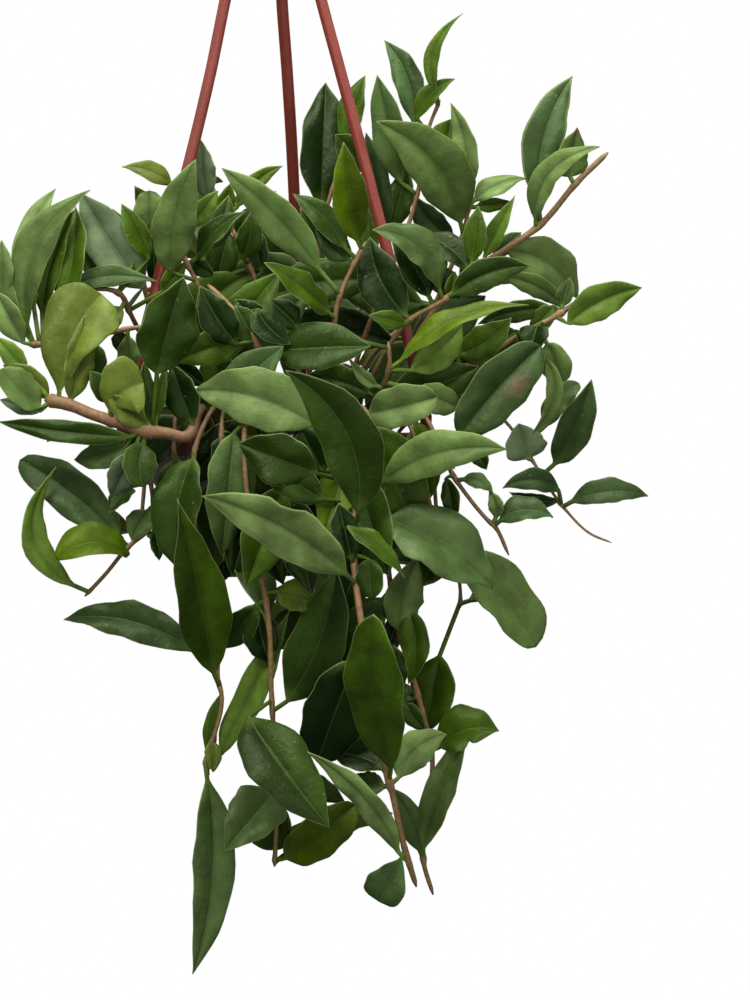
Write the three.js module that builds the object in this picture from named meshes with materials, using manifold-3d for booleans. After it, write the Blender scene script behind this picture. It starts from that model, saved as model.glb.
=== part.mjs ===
// A lipstick plant in a shallow plastic hanging pot, on a three-armed plastic hanger.
// Millimetres, +Z up. The origin is where the hook bears; the viewer's side is -Y.
import * as THREE from "three";
import { mergeVertices } from "three/addons/utils/BufferGeometryUtils.js";
import Module from "manifold-3d";

const wasm = await Module();
wasm.setup();

// Pot. Heights are from a level just above the rim, where the arms' lines meet the pot.
const RIM_TOP = -2;
const LIP_R = 67;
const LIP_DEPTH = 8;
const WALL = 1.9;
const MOUTH_R = 62.5;
const SHOULDER = [60, -9];
const WAIST = [49.5, -26];
const BASE_R = 42;
const POT_BOTTOM = -58.5;
const FOOT_H = 2.2;
const FLOOR = 2.4;
const DRAIN_R = 4;
const DRAIN_RING_R = 26;
const DRAINS = 5;
const POT_SIDES = 26;

// Potting soil.
const SOIL_EDGE = -11;
const SOIL_CROWN = -7;
const GAP = 0.35;
const HOLE_DEPTH = 14;

// Hanger.
const ARM_COUNT = 3;
const ARM_FIRST_DEG = 84.2;
const ARM_WIDTH = 5;
const ARM_THICK = 3;
const ARM_PATH = [
  [63.4, -12.6], [67, -12.2], [69.3, -9.4], [69.9, -2], [70.9, 4], [68.2, 14], [52.6, 72],
  [40.9, 112], [30.2, 148], [23.2, 172], [5, 237.6],
];
const HUB_R = 8.5;
const HUB_BOTTOM = 231;
const HUB_SHOULDER = 243;
const HUB_TOP = 254;
const HUB_NECK_R = 3.4;
const HOOK_WIRE_R = 3;
const HOOK_R = 14;
const HOOK_CENTRE = 281;
const HANG = HOOK_CENTRE + HOOK_R - HOOK_WIRE_R;

// The crown leans with its weight.
const LEAN = THREE.MathUtils.degToRad(1.13);

// Leaves and stems.
const SEED = 41;
const TRIES = 90;
const FREE = 0.45;
const MID_HALF = 0.75;
const PETIOLE_HALF = 0.95;
const SHORTEST = 2.5;
const FOLD = 0.2;
const STEM_SIDES = 4;
const TRIM = 0.02;
const BLADE_STATIONS = [0.24, 0.52, 0.8];
const SMALL_STATIONS = [0.3, 0.68];
const SMALL_WIDTH = 15.2;
// Powers that round the base and sharpen the tip of each leaf form.
const FORMS = { a: [0.75, 1], r: [0.5, 0.5], n: [0.8, 1.3], d: [0.4, 0.9] };

const v3 = (x, y, z) => new THREE.Vector3(x, y, z);
const mix = (a, b, t) => a.clone().lerp(b, t);
const mixed = (a, b, t) => a + (b - a) * t;

// A repeatable draw between 0 and 1 for a list of whole numbers.
function draw(...keys) {
  let h = SEED;
  for (const k of keys) {
    h = Math.imul(h ^ (k + 101), 16777619) >>> 0;
    h = (h ^ (h >>> 13)) >>> 0;
  }
  h = Math.imul(h, 2246822519) >>> 0;
  h = (h ^ (h >>> 15)) >>> 0;
  h = Math.imul(h, 3266489917) >>> 0;
  return ((h ^ (h >>> 16)) >>> 0) / 4294967296;
}

// A point of the crown, laid out upright and then leaned.
function leaned(x, y, z) {
  return v3(x * Math.cos(LEAN) + z * Math.sin(LEAN), y, z * Math.cos(LEAN) - x * Math.sin(LEAN));
}

// Joins rings of points into one closed surface; a ring of one point is a tip.
function skin(rings) {
  const points = rings.flat();
  const starts = [];
  let count = 0;
  for (const ring of rings) {
    starts.push(count);
    count += ring.length;
  }
  const faces = [];
  const cap = (start, n, flip) => {
    for (let k = 1; k < n - 1; k++) {
      faces.push(flip ? [start, start + k + 1, start + k] : [start, start + k, start + k + 1]);
    }
  };
  cap(starts[0], rings[0].length, true);
  for (let i = 0; i < rings.length - 1; i++) {
    const n = rings[i].length;
    for (let k = 0; k < n; k++) {
      const a = starts[i] + k;
      const b = starts[i] + ((k + 1) % n);
      if (rings[i + 1].length === 1) {
        faces.push([a, b, starts[i + 1]]);
        continue;
      }
      const c = starts[i + 1] + k;
      const d = starts[i + 1] + ((k + 1) % n);
      if (k % 2) faces.push([a, b, d], [a, d, c]);
      else faces.push([a, b, c], [b, d, c]);
    }
  }
  cap(starts.at(-1), rings.at(-1).length, false);
  let six = 0;
  for (const [a, b, c] of faces) {
    six += points[a].dot(points[b].clone().cross(points[c]));
  }
  const index = six < 0 ? faces.map(([a, b, c]) => [a, c, b]) : faces;
  const geometry = new THREE.BufferGeometry().setFromPoints(points);
  geometry.setIndex(index.flat());
  return geometry;
}

function solid(geometry) {
  const plain = geometry.clone();
  plain.deleteAttribute("normal");
  plain.deleteAttribute("uv");
  const merged = mergeVertices(plain, 1e-4);
  return new wasm.Manifold(
    new wasm.Mesh({
      numProp: 3,
      vertProperties: new Float32Array(merged.attributes.position.array),
      triVerts: new Uint32Array(merged.index.array),
    }),
  );
}

function geometryOf(manifold) {
  const mesh = manifold.getMesh();
  const geometry = new THREE.BufferGeometry();
  geometry.setAttribute("position", new THREE.BufferAttribute(mesh.vertProperties, mesh.numProp));
  geometry.setIndex(new THREE.BufferAttribute(mesh.triVerts, 1));
  geometry.computeVertexNormals();
  return geometry;
}

function lathe(profile, sides) {
  const outline = profile.map(([r, z]) => new THREE.Vector2(r, z));
  return new THREE.LatheGeometry(outline, sides).rotateX(Math.PI / 2);
}

function upright(radius, sides, x, y, z0, z1) {
  const ring = (z) =>
    Array.from({ length: sides }, (_, k) => {
      const turn = (2 * Math.PI * k) / sides;
      return v3(x + radius * Math.cos(turn), y + radius * Math.sin(turn), z);
    });
  return skin([ring(z0), ring(z1)]);
}

// Sweeps a section along a path; the section's points are [across, out] at each path point.
function sweep(path, section, across) {
  const rings = path.map((p, i) => {
    const before = path[Math.max(i - 1, 0)];
    const after = path[Math.min(i + 1, path.length - 1)];
    const along = after.clone().sub(before).normalize();
    const side = across(along, i);
    const out = side.clone().cross(along);
    return section(i).map(([u, w]) => p.clone().addScaledVector(side, u).addScaledVector(out, w));
  });
  return skin(rings);
}

// A round stem whose sides keep their turn from ring to ring.
function tube(path, radii, sides) {
  let side = v3(1, 0.13, 0.07);
  const ring = (i) =>
    Array.from({ length: sides }, (_, k) => {
      const turn = (2 * Math.PI * k) / sides;
      return [radii[i] * Math.cos(turn), radii[i] * Math.sin(turn)];
    });
  return sweep(path, ring, (along) => {
    side = side.clone().addScaledVector(along, -side.dot(along)).normalize();
    return side;
  });
}

// Each stem: the spot in the soil, then the way it takes, with its radii at soil and tip.
const STEMS = {
  front_centre: [[3, -44], [[7, -60, 10], [11, -76, 8], [14, -85, -6], [16.4, -89, -26.8],
    [22, -92, -36], [27, -94, -52], [29.4, -95, -62], [31.5, -95, -77], [35.6, -93, -104],
    [40.4, -88, -131.6], [43.6, -84, -144], [48, -76, -164], [53.2, -68, -181.6]], 1.9, 1.5],
  front_right: [[19, -41], [[28, -58, 8], [33, -71, 7], [38, -78, -8], [40, -78, -34],
    [43, -74, -62], [47.6, -71, -84.8], [52, -68, -99], [55.6, -65, -112], [59.6, -60, -131],
    [58, -56, -150], [56, -53, -171], [60, -50, -185.6]], 1.5, 1.2],
  front_left: [[-9, -44], [[-12, -60, 8], [-14, -75, 7], [-15, -83, -8], [-12, -83, -40],
    [-5.6, -78, -73.6], [-4, -70, -110.4], [-2, -62, -142.8], [-3.2, -56, -174]], 1.5, 1.2],
  left_trailing: [[-21, -40], [[-26, -57, 8], [-29, -69, 6], [-35, -74, -10], [-33, -73, -50],
    [-26, -69, -85], [-25.6, -67, -99], [-24, -66, -107], [-28.4, -62, -125.6],
    [-30.8, -60, -132.4], [-29.2, -59, -137.5]], 1.4, 1],
  left_front: [[-29, -28], [[-32, -48, 7], [-34, -66, 6], [-38, -74, -3], [-45, -75, -1.6],
    [-54.4, -75, -0.4], [-65.2, -73, 2.8], [-75.2, -71, 6], [-85, -68, 10], [-94.4, -65, 12]],
    2.3, 2.4],
  low_left: [[-38, -24], [[-46, -42, 9], [-51, -56, 8], [-55, -62, -6], [-52, -62, -24],
    [-52, -61, -38], [-62, -61, -47.2], [-70, -60, -57], [-78.8, -58, -66.4]], 1.2, 1],
  left_mid: [[-27, -12], [[-27, -24, 20], [-30, -36, 36], [-37, -44, 41.4], [-48, -46, 41.2],
    [-59, -46, 40.8], [-73.6, -46, 37.6], [-88, -45, 35], [-102, -44, 34]], 1.2, 1],
  left_upper: [[-38, -6], [[-47, -8, 22], [-57, -14, 38], [-62, -28, 48], [-66, -36, 55],
    [-78, -36, 57], [-90, -35, 58]], 1.4, 1.1],
  top_left: [[-16, -18], [[-22, -24, 20], [-28, -30, 42], [-34, -33, 58], [-40, -34, 70],
    [-44, -33, 84]], 1.4, 1],
  top_mid: [[-3, 2], [[-5, -4, 30], [-10, -7, 56], [-18, -7, 76], [-26, -6, 90], [-30, -5, 100]],
    1.4, 1],
  centre_left: [[-4, -28], [[-7, -44, 12], [-8.4, -54, 28], [-12, -55, 38], [-20, -53, 48],
    [-30, -49, 58]], 1.8, 1.4],
  centre_twig: [[12, -22], [[15, -34, 12], [19, -44, 30], [20.8, -48, 44], [22, -50, 51],
    [28.8, -51, 67], [33.2, -50, 75.2]], 1.5, 1],
  bud_centre: [[28, -27], [[34, -44, 10], [40, -56, 17], [42.6, -60, 26], [42, -60, 35]], 1.4, 1],
  right_upper: [[36, -8], [[46, -14, 22], [58, -20, 44], [72, -24, 60], [87, -26, 71],
    [104, -26, 83.2], [117.6, -25, 99.2], [130.4, -25, 111.6]], 1.8, 1.5],
  right_front: [[23, -26], [[32, -38, 14], [44, -47, 36], [52, -50, 44.8], [63.6, -51, 51.2],
    [76, -51, 61.6]], 1.4, 1],
  top_right: [[22, -8], [[30, -12, 30], [42, -18, 62], [52, -20, 88], [56, -20, 106],
    [58, -20, 120], [63, -20, 133]], 1.4, 0.9],
  top_branch: [[40, 6], [[52, 2, 30], [64, -8, 58], [72, -15, 78], [75, -18, 92], [77, -18, 99]],
    1.4, 1],
  top_centre: [[8, 8], [[12, 8, 40], [15, 6, 80], [21, 5, 102], [26, 5, 115]], 1.4, 1],
  right: [[41, -17], [[54, -32, 9], [61, -36, 20], [76.8, -38, 27], [93, -38, 37],
    [109.2, -37, 45.6], [117, -36, 51], [124, -36, 57]], 1.5, 1.1],
  right_side: [[45.5, -3], [[60, -8, 9], [72, -14, 14], [82, -18, 9], [89.2, -20, 3.6],
    [100, -20, -12], [108, -20, -24.8], [112.8, -20, -31.2], [122.8, -20, -41.2],
    [132, -20, -45.2]], 1.1, 0.6],
  right_lower: [[36.5, -27], [[48, -47, 8], [56, -58, 6], [63, -64, -8], [68, -66, -18.4],
    [74.8, -66, -28], [81.6, -66, -36], [84.4, -66, -38.4], [90, -65, -50]], 1.2, 1],
  right_hanging: [[29, -35], [[40, -50, 4], [48, -60, 5], [54, -65, -8], [60, -64, -34],
    [68, -60, -52], [70.6, -57, -62], [70.8, -55, -71]], 1.1, 0.9],
  curtain_left: [[-34.5, -30], [[-39, -49, 7], [-42, -58, 8], [-43, -63, 0], [-43, -63, -20],
    [-41, -63, -46]], 1.2, 1],
  curtain_mid_left: [[-15, -43], [[-20, -62, 7], [-23, -71, 8], [-24, -76, 0], [-24, -77, -20],
    [-23, -77, -52]], 1.2, 1],
  curtain_mid: [[-3, -46], [[-2, -64, 7], [0, -72, 8], [0, -77, 0], [1, -78, -20], [3, -78, -56]],
    1.2, 1],
  curtain_mid_right: [[11, -44.5], [[21, -61, 7], [24, -69, 8], [26, -74.5, 0], [27, -76, -20],
    [28, -76, -54]], 1.2, 1],
  left_back: [[-36, 8], [[-46, 4, 28], [-55, -2, 52], [-57, -4, 70], [-54, -5, 86]], 1.4, 1],
};

// Leaves seen from the front, nearest first: stem, foot x z, tip x z, width, sideways bow,
// lean towards the viewer (under 0) or away as a share of the length, form, petiole share.
const LEAVES = [
  ["front_centre", 29.2, -39.2, 1.6, 22.8, 24, -0.17, -0.15, "a"],
  ["front_centre", 44.4, -138.4, 36, -72.8, 20.5, 0.03, -0.2, "a"],
  ["front_left", -0.8, -111.6, 21.6, -54.4, 23, -0.07, -0.2, "a"],
  ["left_trailing", -26.4, -102.4, -40.8, -27.6, 21.5, -0.01, -0.15, "n"],
  ["front_centre", 29.2, -61.2, -31.2, -26.4, 21, -0.07, -0.1, "a"],
  ["front_centre", 23.2, -37.6, 48.8, -59.2, 7.5, 0.08, -0.25, "n"],
  ["front_right", 46.8, -82.4, 54, -50.8, 15.5, 0.08, -0.1, "a"],
  ["front_right", 55, -64, 67.2, -35.6, 16.5, 0, 0, "a"],
  ["left_trailing", -27.6, -134.4, 3.2, -71.2, 10.5, 0.07, -0.1, "n"],
  ["front_left", -17.2, -108, 18.8, -157.2, 21.5, -0.02, -0.1, "a"],
  ["front_centre", 47.2, -172.8, 10, -128, 14, -0.085, -0.1, "a"],
  ["front_right", 55.2, -170.8, 74, -118.8, 14.5, 0.06, -0.15, "a"],
  ["front_left", -2, -143, -22.8, -167.2, 22, 0, -0.1, "d"],
  ["left_trailing", -31.2, -132.8, -35.6, -216.4, 18.5, 0.08, 0, "a"],
  ["front_left", -1, -172, 29.2, -148.8, 19.5, -0.02, 0, "r"],
  ["front_left", 4, -147, -12, -165, 16, 0.1, 0.1, "a"],
  ["front_right", 61.2, -127.2, 86, -118.4, 18, 0.15, 0, "a"],
  ["front_centre", 45.6, -140, 65.2, -120.8, 15, 0.15, 0.1, "a"],
  ["front_centre", 42, -136, 19.6, -129.2, 13, -0.1, 0.15, "a"],
  ["front_centre", 45, -141, 27.6, -136.8, 10, 0.1, 0.1, "a"],
  ["front_right", 55.2, -170.8, 42, -142, 11, -0.08, 0.1, "a"],
  ["front_centre", 46.8, -168, 38, -187.5, 17, 0, 0.1, "r"],
  ["front_centre", 34, -47, 35.6, -66.8, 11, 0, 0.1, "r"],
  ["front_centre", 30, -88, 14, -131, 24, 0, 0.1, "r"],
  ["front_right", 51, -113.6, 47.6, -100.8, 6.5, 0, 0.1, "r"],
  ["right_hanging", 70.8, -70.4, 57, -121, 15, 0.1, 0, "a", 0.2],
  ["front_right", 48, -68, 50, -101, 11.5, 0.12, 0.1, "a"],
  ["front_left", -6.4, -78, -26, -45.6, 12.5, -0.15, 0, "a"],
  ["front_left", -10, -70, -8, -92, 12.5, 0.1, 0.1, "a"],
  ["front_left", -9, -68, -22, -84, 9, 0, 0.2, "a"],
  ["front_left", -3, -64, 13, -68, 13, 0, 0.1, "r"],
  ["left_trailing", -31.2, -92.8, -87.2, -75.6, 16.5, -0.09, 0, "a"],
  ["front_right", 32, 6, 61.6, 12.8, 17, -0.02, -0.1, "r"],
  ["front_right", 36.8, -24, 88.8, -8, 17.5, 0.11, -0.1, "a"],
  ["front_right", 35, -33, 83.6, -63, 26, 0.05, 0, "a"],
  ["right_hanging", 68, -48, 102.4, -87, 22.5, 0.04, 0, "r"],
  ["right_lower", 68, -6, 102.8, 33.2, 22, 0.03, 0.1, "r"],
  ["front_centre", 19, -3.2, -35.6, 15.2, 24.5, -0.1, -0.05, "a"],
  ["front_centre", 20, -20, -17.2, -5.6, 21, 0, 0, "a"],
  ["front_left", -18.8, 2.4, -24, -50, 20, 0, 0, "a"],
  ["left_trailing", -33, -8, -41, -56, 20, -0.09, 0.05, "a"],
  ["bud_centre", 52, 16, 69.6, 9.2, 12.5, 0, 0, "r"],
  ["bud_centre", 40, 16.4, 26.4, 28.8, 5.5, 0.1, -0.1, "n"],
  ["bud_centre", 38, 12, 8.4, 20.8, 13.5, -0.08, 0, "a"],
  ["centre_left", -6, 31.2, 35.2, 33.2, 20, 0, 0, "a"],
  ["left_front", -51.2, 1.2, -37.2, 60, 23.5, 0.03, -0.05, "a", 0.36],
  ["left_front", -68, -0.4, -54.8, 18.4, 17, 0.2, -0.1, "d"],
  ["left_front", -53, 7, -66, 12, 7.5, 0, 0, "a"],
  ["left_front", -88.8, 6.8, -72, 54, 26, 0.12, -0.1, "r"],
  ["left_upper", -61.2, 53.2, -74.4, 38, 9, 0, -0.2, "a"],
  ["left_upper", -88, 56, -50, 59.2, 9, 0.1, -0.1, "n"],
  ["left_front", -92, 6, -112, 24, 13, 0.05, 0, "r"],
  ["left_front", -93, 6.8, -113, 12, 8, 0, -0.1, "n"],
  ["left_front", -55.2, -4.8, -113.2, 3.2, 14, 0.02, 0.05, "a"],
  ["left_front", -54.4, -4.4, -55, -22.8, 14, -0.1, 0, "r"],
  ["left_front", -60, -6, -82.8, -12, 12, 0.05, 0.1, "a"],
  ["left_front", -58, -8, -68, -27, 13, 0, 0.15, "a"],
  ["low_left", -60, -22, -69, -33.2, 8.4, 0, 0, "d"],
  ["low_left", -58.8, -50.8, -94, -50.8, 14.5, -0.2, -0.1, "r"],
  ["low_left", -78, -64.8, -90, -14.8, 11, 0.3, 0, "n"],
  ["low_left", -62, -46, -105.2, -15, 18.5, -0.06, 0.1, "r"],
  ["low_left", -52, -30, -60, -46, 11, 0, 0, "a"],
  ["low_left", -51, -38, -49, -52, 6, 0, 0, "a"],
  ["left_mid", -101, 36, -77.2, 96, 13.5, 0.18, 0, "a"],
  ["top_left", -44.4, 55.2, -34.8, 108, 17.5, 0.07, -0.05, "a"],
  ["left_upper", -54, 54, -81.2, 95.2, 19, 0.02, 0, "a"],
  ["left_mid", -90, 44, -83.2, 89.6, 12.5, -0.05, 0.1, "a"],
  ["left_mid", -98, 44, -91.6, 97.2, 13, 0.12, 0.2, "a"],
  ["left_mid", -101, 30, -115, 56, 11, 0, 0.1, "a"],
  ["left_mid", -103, 40, -116, 78, 12, 0.1, 0.15, "a"],
  ["left_mid", -62, 40, -62, 20, 9, 0, 0.1, "a"],
  ["left_mid", -75, 36, -76, 18, 10, 0, 0.1, "a"],
  ["left_front", -34, -2, -44, 26, 14, 0, 0.2, "a"],
  ["centre_left", -12, 36, -42, 27, 15, -0.05, 0, "a"],
  ["centre_twig", 20, 55.2, -24.4, 104.4, 15.5, -0.05, 0, "a", 0.16],
  ["centre_twig", 20, 44.8, -7.2, 66.4, 10.5, -0.03, -0.15, "a"],
  ["centre_left", -11, 50, 3.2, 34, 12.5, -0.1, 0, "a"],
  ["centre_twig", 30.8, 72.4, 24.4, 114, 14.5, 0.03, -0.1, "a"],
  ["right_front", 53.6, 41, 34.4, 45.6, 7.5, 0, -0.15, "a"],
  ["right_front", 62.8, 52.8, 35.6, 79.6, 14, -0.2, -0.1, "a"],
  ["right_front", 51.6, 43.2, 34.8, 77.2, 19, 0.1, 0, "a"],
  ["bud_centre", 44, 23.6, 98, 49.6, 8.5, 0.12, -0.1, "n"],
  ["bud_centre", 49, 22, 71.6, 42, 14, -0.05, 0.05, "a"],
  ["right", 68, 30, 91.2, 44.8, 14, -0.1, 0, "a"],
  ["right", 76, 24, 95, 40, 12, 0, 0.1, "a"],
  ["centre_twig", 26, 70, 4, 94, 10.5, -0.08, 0.15, "a"],
  ["top_left", -35.2, 67.2, -14.4, 87.6, 9, 0.1, -0.1, "n"],
  ["top_left", -31.2, 70, -22, 94.4, 10, -0.05, 0, "a"],
  ["top_mid", -20, 64.8, -13.2, 88, 11, -0.1, -0.1, "a"],
  ["top_mid", -8.4, 62, -14, 86, 9, 0, 0, "a"],
  ["right_front", 75.2, 65.2, 78, 89.2, 9.8, 0, -0.1, "a"],
  ["right_front", 65.6, 52, 98.8, 65.2, 13, 0.1, -0.05, "a"],
  ["right_upper", 80, 68, 92.8, 94, 8, 0, 0, "n"],
  ["right_front", 74.8, 62, 56.4, 77.6, 12, -0.1, 0.1, "a"],
  ["top_branch", 71.6, 79.2, 37.2, 123.6, 20.5, -0.09, -0.15, "a"],
  ["top_branch", 73.2, 92, 67.2, 131.6, 11.5, -0.08, 0.1, "a"],
  ["top_right", 64, 106, 67.2, 125.2, 13.5, 0, 0.05, "a"],
  ["top_branch", 74.8, 90.8, 98, 101.6, 6.5, 0.08, 0, "n"],
  ["top_branch", 75.6, 89.6, 92.8, 92, 4.5, 0, -0.1, "n"],
  ["top_right", 52.8, 120, 68.8, 141.2, 9.5, 0.15, -0.1, "a"],
  ["top_right", 62.8, 132.4, 71.2, 167.2, 8, 0.2, 0, "n"],
  ["top_right", 53, 120, 41.2, 157.2, 13, -0.1, 0.1, "a"],
  ["top_right", 48, 96, 37.6, 142.8, 14.5, 0, 0.1, "a"],
  ["top_centre", 26, 112, 32.8, 144, 10.5, 0.07, 0, "a"],
  ["top_centre", 34, 94, 20.8, 119.6, 14, -0.1, 0, "a"],
  ["top_centre", 15.6, 88, 16.8, 141.6, 17.5, 0, 0.05, "a"],
  ["right_upper", 101.6, 80.8, 126.4, 113.2, 11, 0.18, -0.1, "n"],
  ["right_upper", 102.4, 84, 116.4, 142.8, 15, 0.12, 0.1, "a", 0.14],
  ["right_upper", 115.2, 100, 121, 120.4, 9, 0.05, 0.1, "d"],
  ["right_upper", 83.6, 72.8, 118.4, 53.2, 17, 0.14, 0.1, "a"],
  ["right_upper", 86, 62, 113.2, 48.8, 9, 0.1, 0, "a"],
  ["right", 111, 47, 115, 61, 7, 0, 0.1, "a"],
  ["right", 112, 40, 143.6, 56, 14.5, 0.02, 0, "a"],
  ["right", 103, 45, 99, 32, 12.5, 0, -0.1, "r"],
  ["right", 104.8, 36, 111, 19, 12.5, 0.05, 0.05, "r"],
  ["right", 103, 32, 97.6, -3.2, 7, 0.23, 0.05, "n"],
  ["right_side", 107.2, -16, 123.6, 20.4, 14.5, -0.05, 0, "a"],
  ["right_side", 105, 0, 119, 19, 10, 0.1, 0.1, "r"],
  ["right_side", 100, -11.6, 95.6, 2.8, 15, 0, -0.1, "d"],
  ["right_side", 114, -28, 88, -23.2, 9.5, -0.2, 0, "a"],
  ["right_side", 113.2, -30, 146.8, -26.4, 10.5, 0.1, 0, "a"],
  ["right_lower", 84.4, -38, 107.6, -34.8, 10.5, 0.17, -0.05, "a"],
  ["right_lower", 68.8, -20.4, 83.6, -24.8, 6.5, 0.15, 0, "a"],
  ["right_lower", 84, -37.2, 82, -24.4, 7.5, -0.15, 0.1, "a"],
  ["right_lower", 66.5, -18.8, 72.8, -40, 7.5, 0.05, 0.1, "a"],
  ["top_left", -38, 80, -26, 96, 8, 0, 0.1, "a"],
  ["top_mid", -28, 92, -32.4, 117.2, 9, -0.1, 0, "a"],
  ["left_back", -52, 90, -65.2, 106.4, 6.5, 0, -0.1, "n"],
  ["left_back", -54, 78, -54, 96.8, 13, 0, 0, "r"],
  ["top_mid", -20, 88, -0.4, 106.8, 7.5, 0.1, 0, "a"],
  ["curtain_mid_left", -24, -12, -33, -60, 18, 0.05, 0, "a"],
  ["curtain_mid", 1, -20, -14, -62, 21, 0, 0, "a"],
  ["curtain_mid", 2, -24, 12, -66, 19, 0, 0, "a"],
  ["curtain_mid_right", 28, -14, 42, -58, 19, 0, 0, "a"],
  ["curtain_left", -42, -8, -45, -47, 15, 0, 0, "a"],
  ["curtain_mid_left", -24, -2, -8, -36, 16, 0, 0, "a"],
  ["curtain_mid", 0, -6, 16, -40, 17, 0, 0, "a"],
  ["curtain_mid_right", 27, -8, 16, -44, 16, 0, 0, "a"],
];

// Stems that fill the back and the sides: how they leave the soil, bend and carry leaves.
const FILL_STEMS = 12;
const FILL_FIRST_DEG = -6;
const FILL_SPAN_DEG = 192;
const FILL_STEP = 15;
const FILL_TRIES = 80;
const PAIR_STEP = 31;
const LONE_STEP = 84;
const FRONT_STEP = 13;
const FRONT_TRIES = 260;
const FRONT_WISH = 0.5;
const FRONT_NEED = 0.12;
const UP = v3(0, 0, 1);

// What hides the back leaves from the front: a grid of how near the front leaves are.
const CELL = 2;
const COLS = 170;
const ROWS = 230;
const LEFT = -170;
const LOW = -240;
const near = new Float32Array(COLS * ROWS).fill(Infinity);
// Ovals where the crown is closed: centre x z and half sizes.
const HEARTS = [
  [1, 40, 44, 32], [19, -20, 44, 44], [19, -84, 24, 36], [-44, -8, 22, 26], [60, 32, 24, 24],
];

function cellOf(p) {
  const col = Math.round((p.x - LEFT) / CELL);
  const row = Math.round((p.z - LOW) / CELL);
  return row * COLS + col;
}

// Every grid cell under a blade, with the blade's depth there.
function shadow(rings) {
  const cells = new Map();
  for (let i = 1; i < rings.length - 1; i++) {
    const [a, , b] = rings[i];
    const [c, , d = c] = rings[i + 1];
    const long = Math.ceil(Math.max(a.distanceTo(c), b.distanceTo(d)) / CELL) + 1;
    const wide = Math.ceil(Math.max(a.distanceTo(b), c.distanceTo(d)) / CELL) + 1;
    for (let m = 0; m <= long; m++) {
      for (let n = 0; n <= wide; n++) {
        const p = mix(mix(a, c, m / long), mix(b, d, m / long), n / wide);
        const cell = cellOf(p);
        cells.set(cell, Math.min(cells.get(cell) ?? Infinity, p.y));
      }
    }
  }
  return cells;
}

// The share of a blade's cells that a test holds for.
function share(cells, test) {
  let held = 0;
  for (const [cell, y] of cells) {
    if (test(cell, y)) held += 1;
  }
  return held / cells.size;
}

const inFront = (cell, y) => y < near[cell] + 0.3;

function inHeart(cell) {
  const x = LEFT + CELL * (cell % COLS);
  const z = LOW + CELL * Math.floor(cell / COLS);
  return HEARTS.some(([cx, cz, rx, rz]) => ((x - cx) / rx) ** 2 + ((z - cz) / rz) ** 2 < 1);
}

const bare = (cell) => near[cell] === Infinity && inHeart(cell);
const covered = (cell, y) => near[cell] < y - 1 || bare(cell);

function body(geometry) {
  geometry.computeBoundingBox();
  return { solid: solid(geometry), box: geometry.boundingBox.clone() };
}

function boxOf(manifold) {
  const { min, max } = manifold.boundingBox();
  return new THREE.Box3(v3(...min), v3(...max));
}

function apart(a, b, gap) {
  if (!a.box.clone().expandByScalar(gap).intersectsBox(b.box)) return true;
  return a.solid.minGap(b.solid, 2 * gap) >= gap;
}

// A leaf as rings [left margin, upper midrib, right margin, lower midrib], foot to tip.
// root: where it leaves the stem's centre. s: its form, width, bow, roll, arch, petiole share.
function leafRings(root, foot, tip, facing, s) {
  const along = tip.clone().sub(foot);
  const length = along.length();
  along.normalize();
  const flat = facing.clone().addScaledVector(along, -facing.dot(along)).normalize();
  const left = flat.clone().cross(along);
  const side = left.clone().multiplyScalar(Math.cos(s.roll)).addScaledVector(flat, Math.sin(s.roll));
  const face = flat.clone().multiplyScalar(Math.cos(s.roll)).addScaledVector(left, -Math.sin(s.roll));
  const midrib = (t) =>
    foot.clone()
      .addScaledVector(along, length * t)
      .addScaledVector(left, 4 * t * (1 - t) * s.bow * length)
      .addScaledVector(flat, 4 * t * (1 - t) * s.arch * length);
  const ring = (p, half, over = side, up = face) => [
    p.clone().addScaledVector(over, half * Math.cos(FOLD)).addScaledVector(up, half * Math.sin(FOLD)),
    p.clone().addScaledVector(up, MID_HALF),
    p.clone().addScaledVector(over, -half * Math.cos(FOLD)).addScaledVector(up, half * Math.sin(FOLD)),
    p.clone().addScaledVector(up, -MID_HALF),
  ];
  const [p, q] = FORMS[s.form];
  const peak = (p / (p + q)) ** p * (q / (p + q)) ** q;
  const start = Math.max(s.petiole, (root.clone().sub(foot).dot(along) + SHORTEST) / length);
  const neck = midrib(start);
  const stalk = neck.clone().sub(root).normalize();
  // The stalk's own sections turn with it, so it keeps its thickness when it leaves sideways.
  const stalkRing = (at, way, half) => {
    const over = face.clone().cross(way).normalize();
    return ring(at, half, over, way.clone().cross(over));
  };
  const rings = [
    stalkRing(root, stalk, 0.8 * PETIOLE_HALF),
    stalkRing(neck, mix(stalk, along, 0.5).normalize(), PETIOLE_HALF),
  ];
  for (const u of s.width < SMALL_WIDTH || s.plain ? SMALL_STATIONS : BLADE_STATIONS) {
    const half = (0.5 * s.width * u ** p * (1 - u) ** q) / peak;
    rings.push(ring(midrib(start + (1 - start) * u), half));
  }
  rings.push([midrib(1)]);
  return rings;
}

const turned = (rings) => rings.map((ring) => ring.map((p) => leaned(p.x, p.y, p.z)));

// The point of a path that lies nearest to x z as seen from the front.
function rootOn(path, x, z) {
  let best = path[0];
  let least = Infinity;
  for (let i = 1; i < path.length; i++) {
    const [a, b] = [path[i - 1], path[i]];
    const [dx, dz] = [b.x - a.x, b.z - a.z];
    const t = ((x - a.x) * dx + (z - a.z) * dz) / (dx * dx + dz * dz);
    const most = i === path.length - 1 ? 1 - SHORTEST / a.distanceTo(b) : 1;
    const p = mix(a, b, Math.min(Math.max(t, 0), most));
    const gap = Math.hypot(p.x - x, p.z - z);
    if (gap < least) {
      least = gap;
      best = p;
    }
  }
  return best;
}

const fixed = [];
const plants = [];

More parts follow.
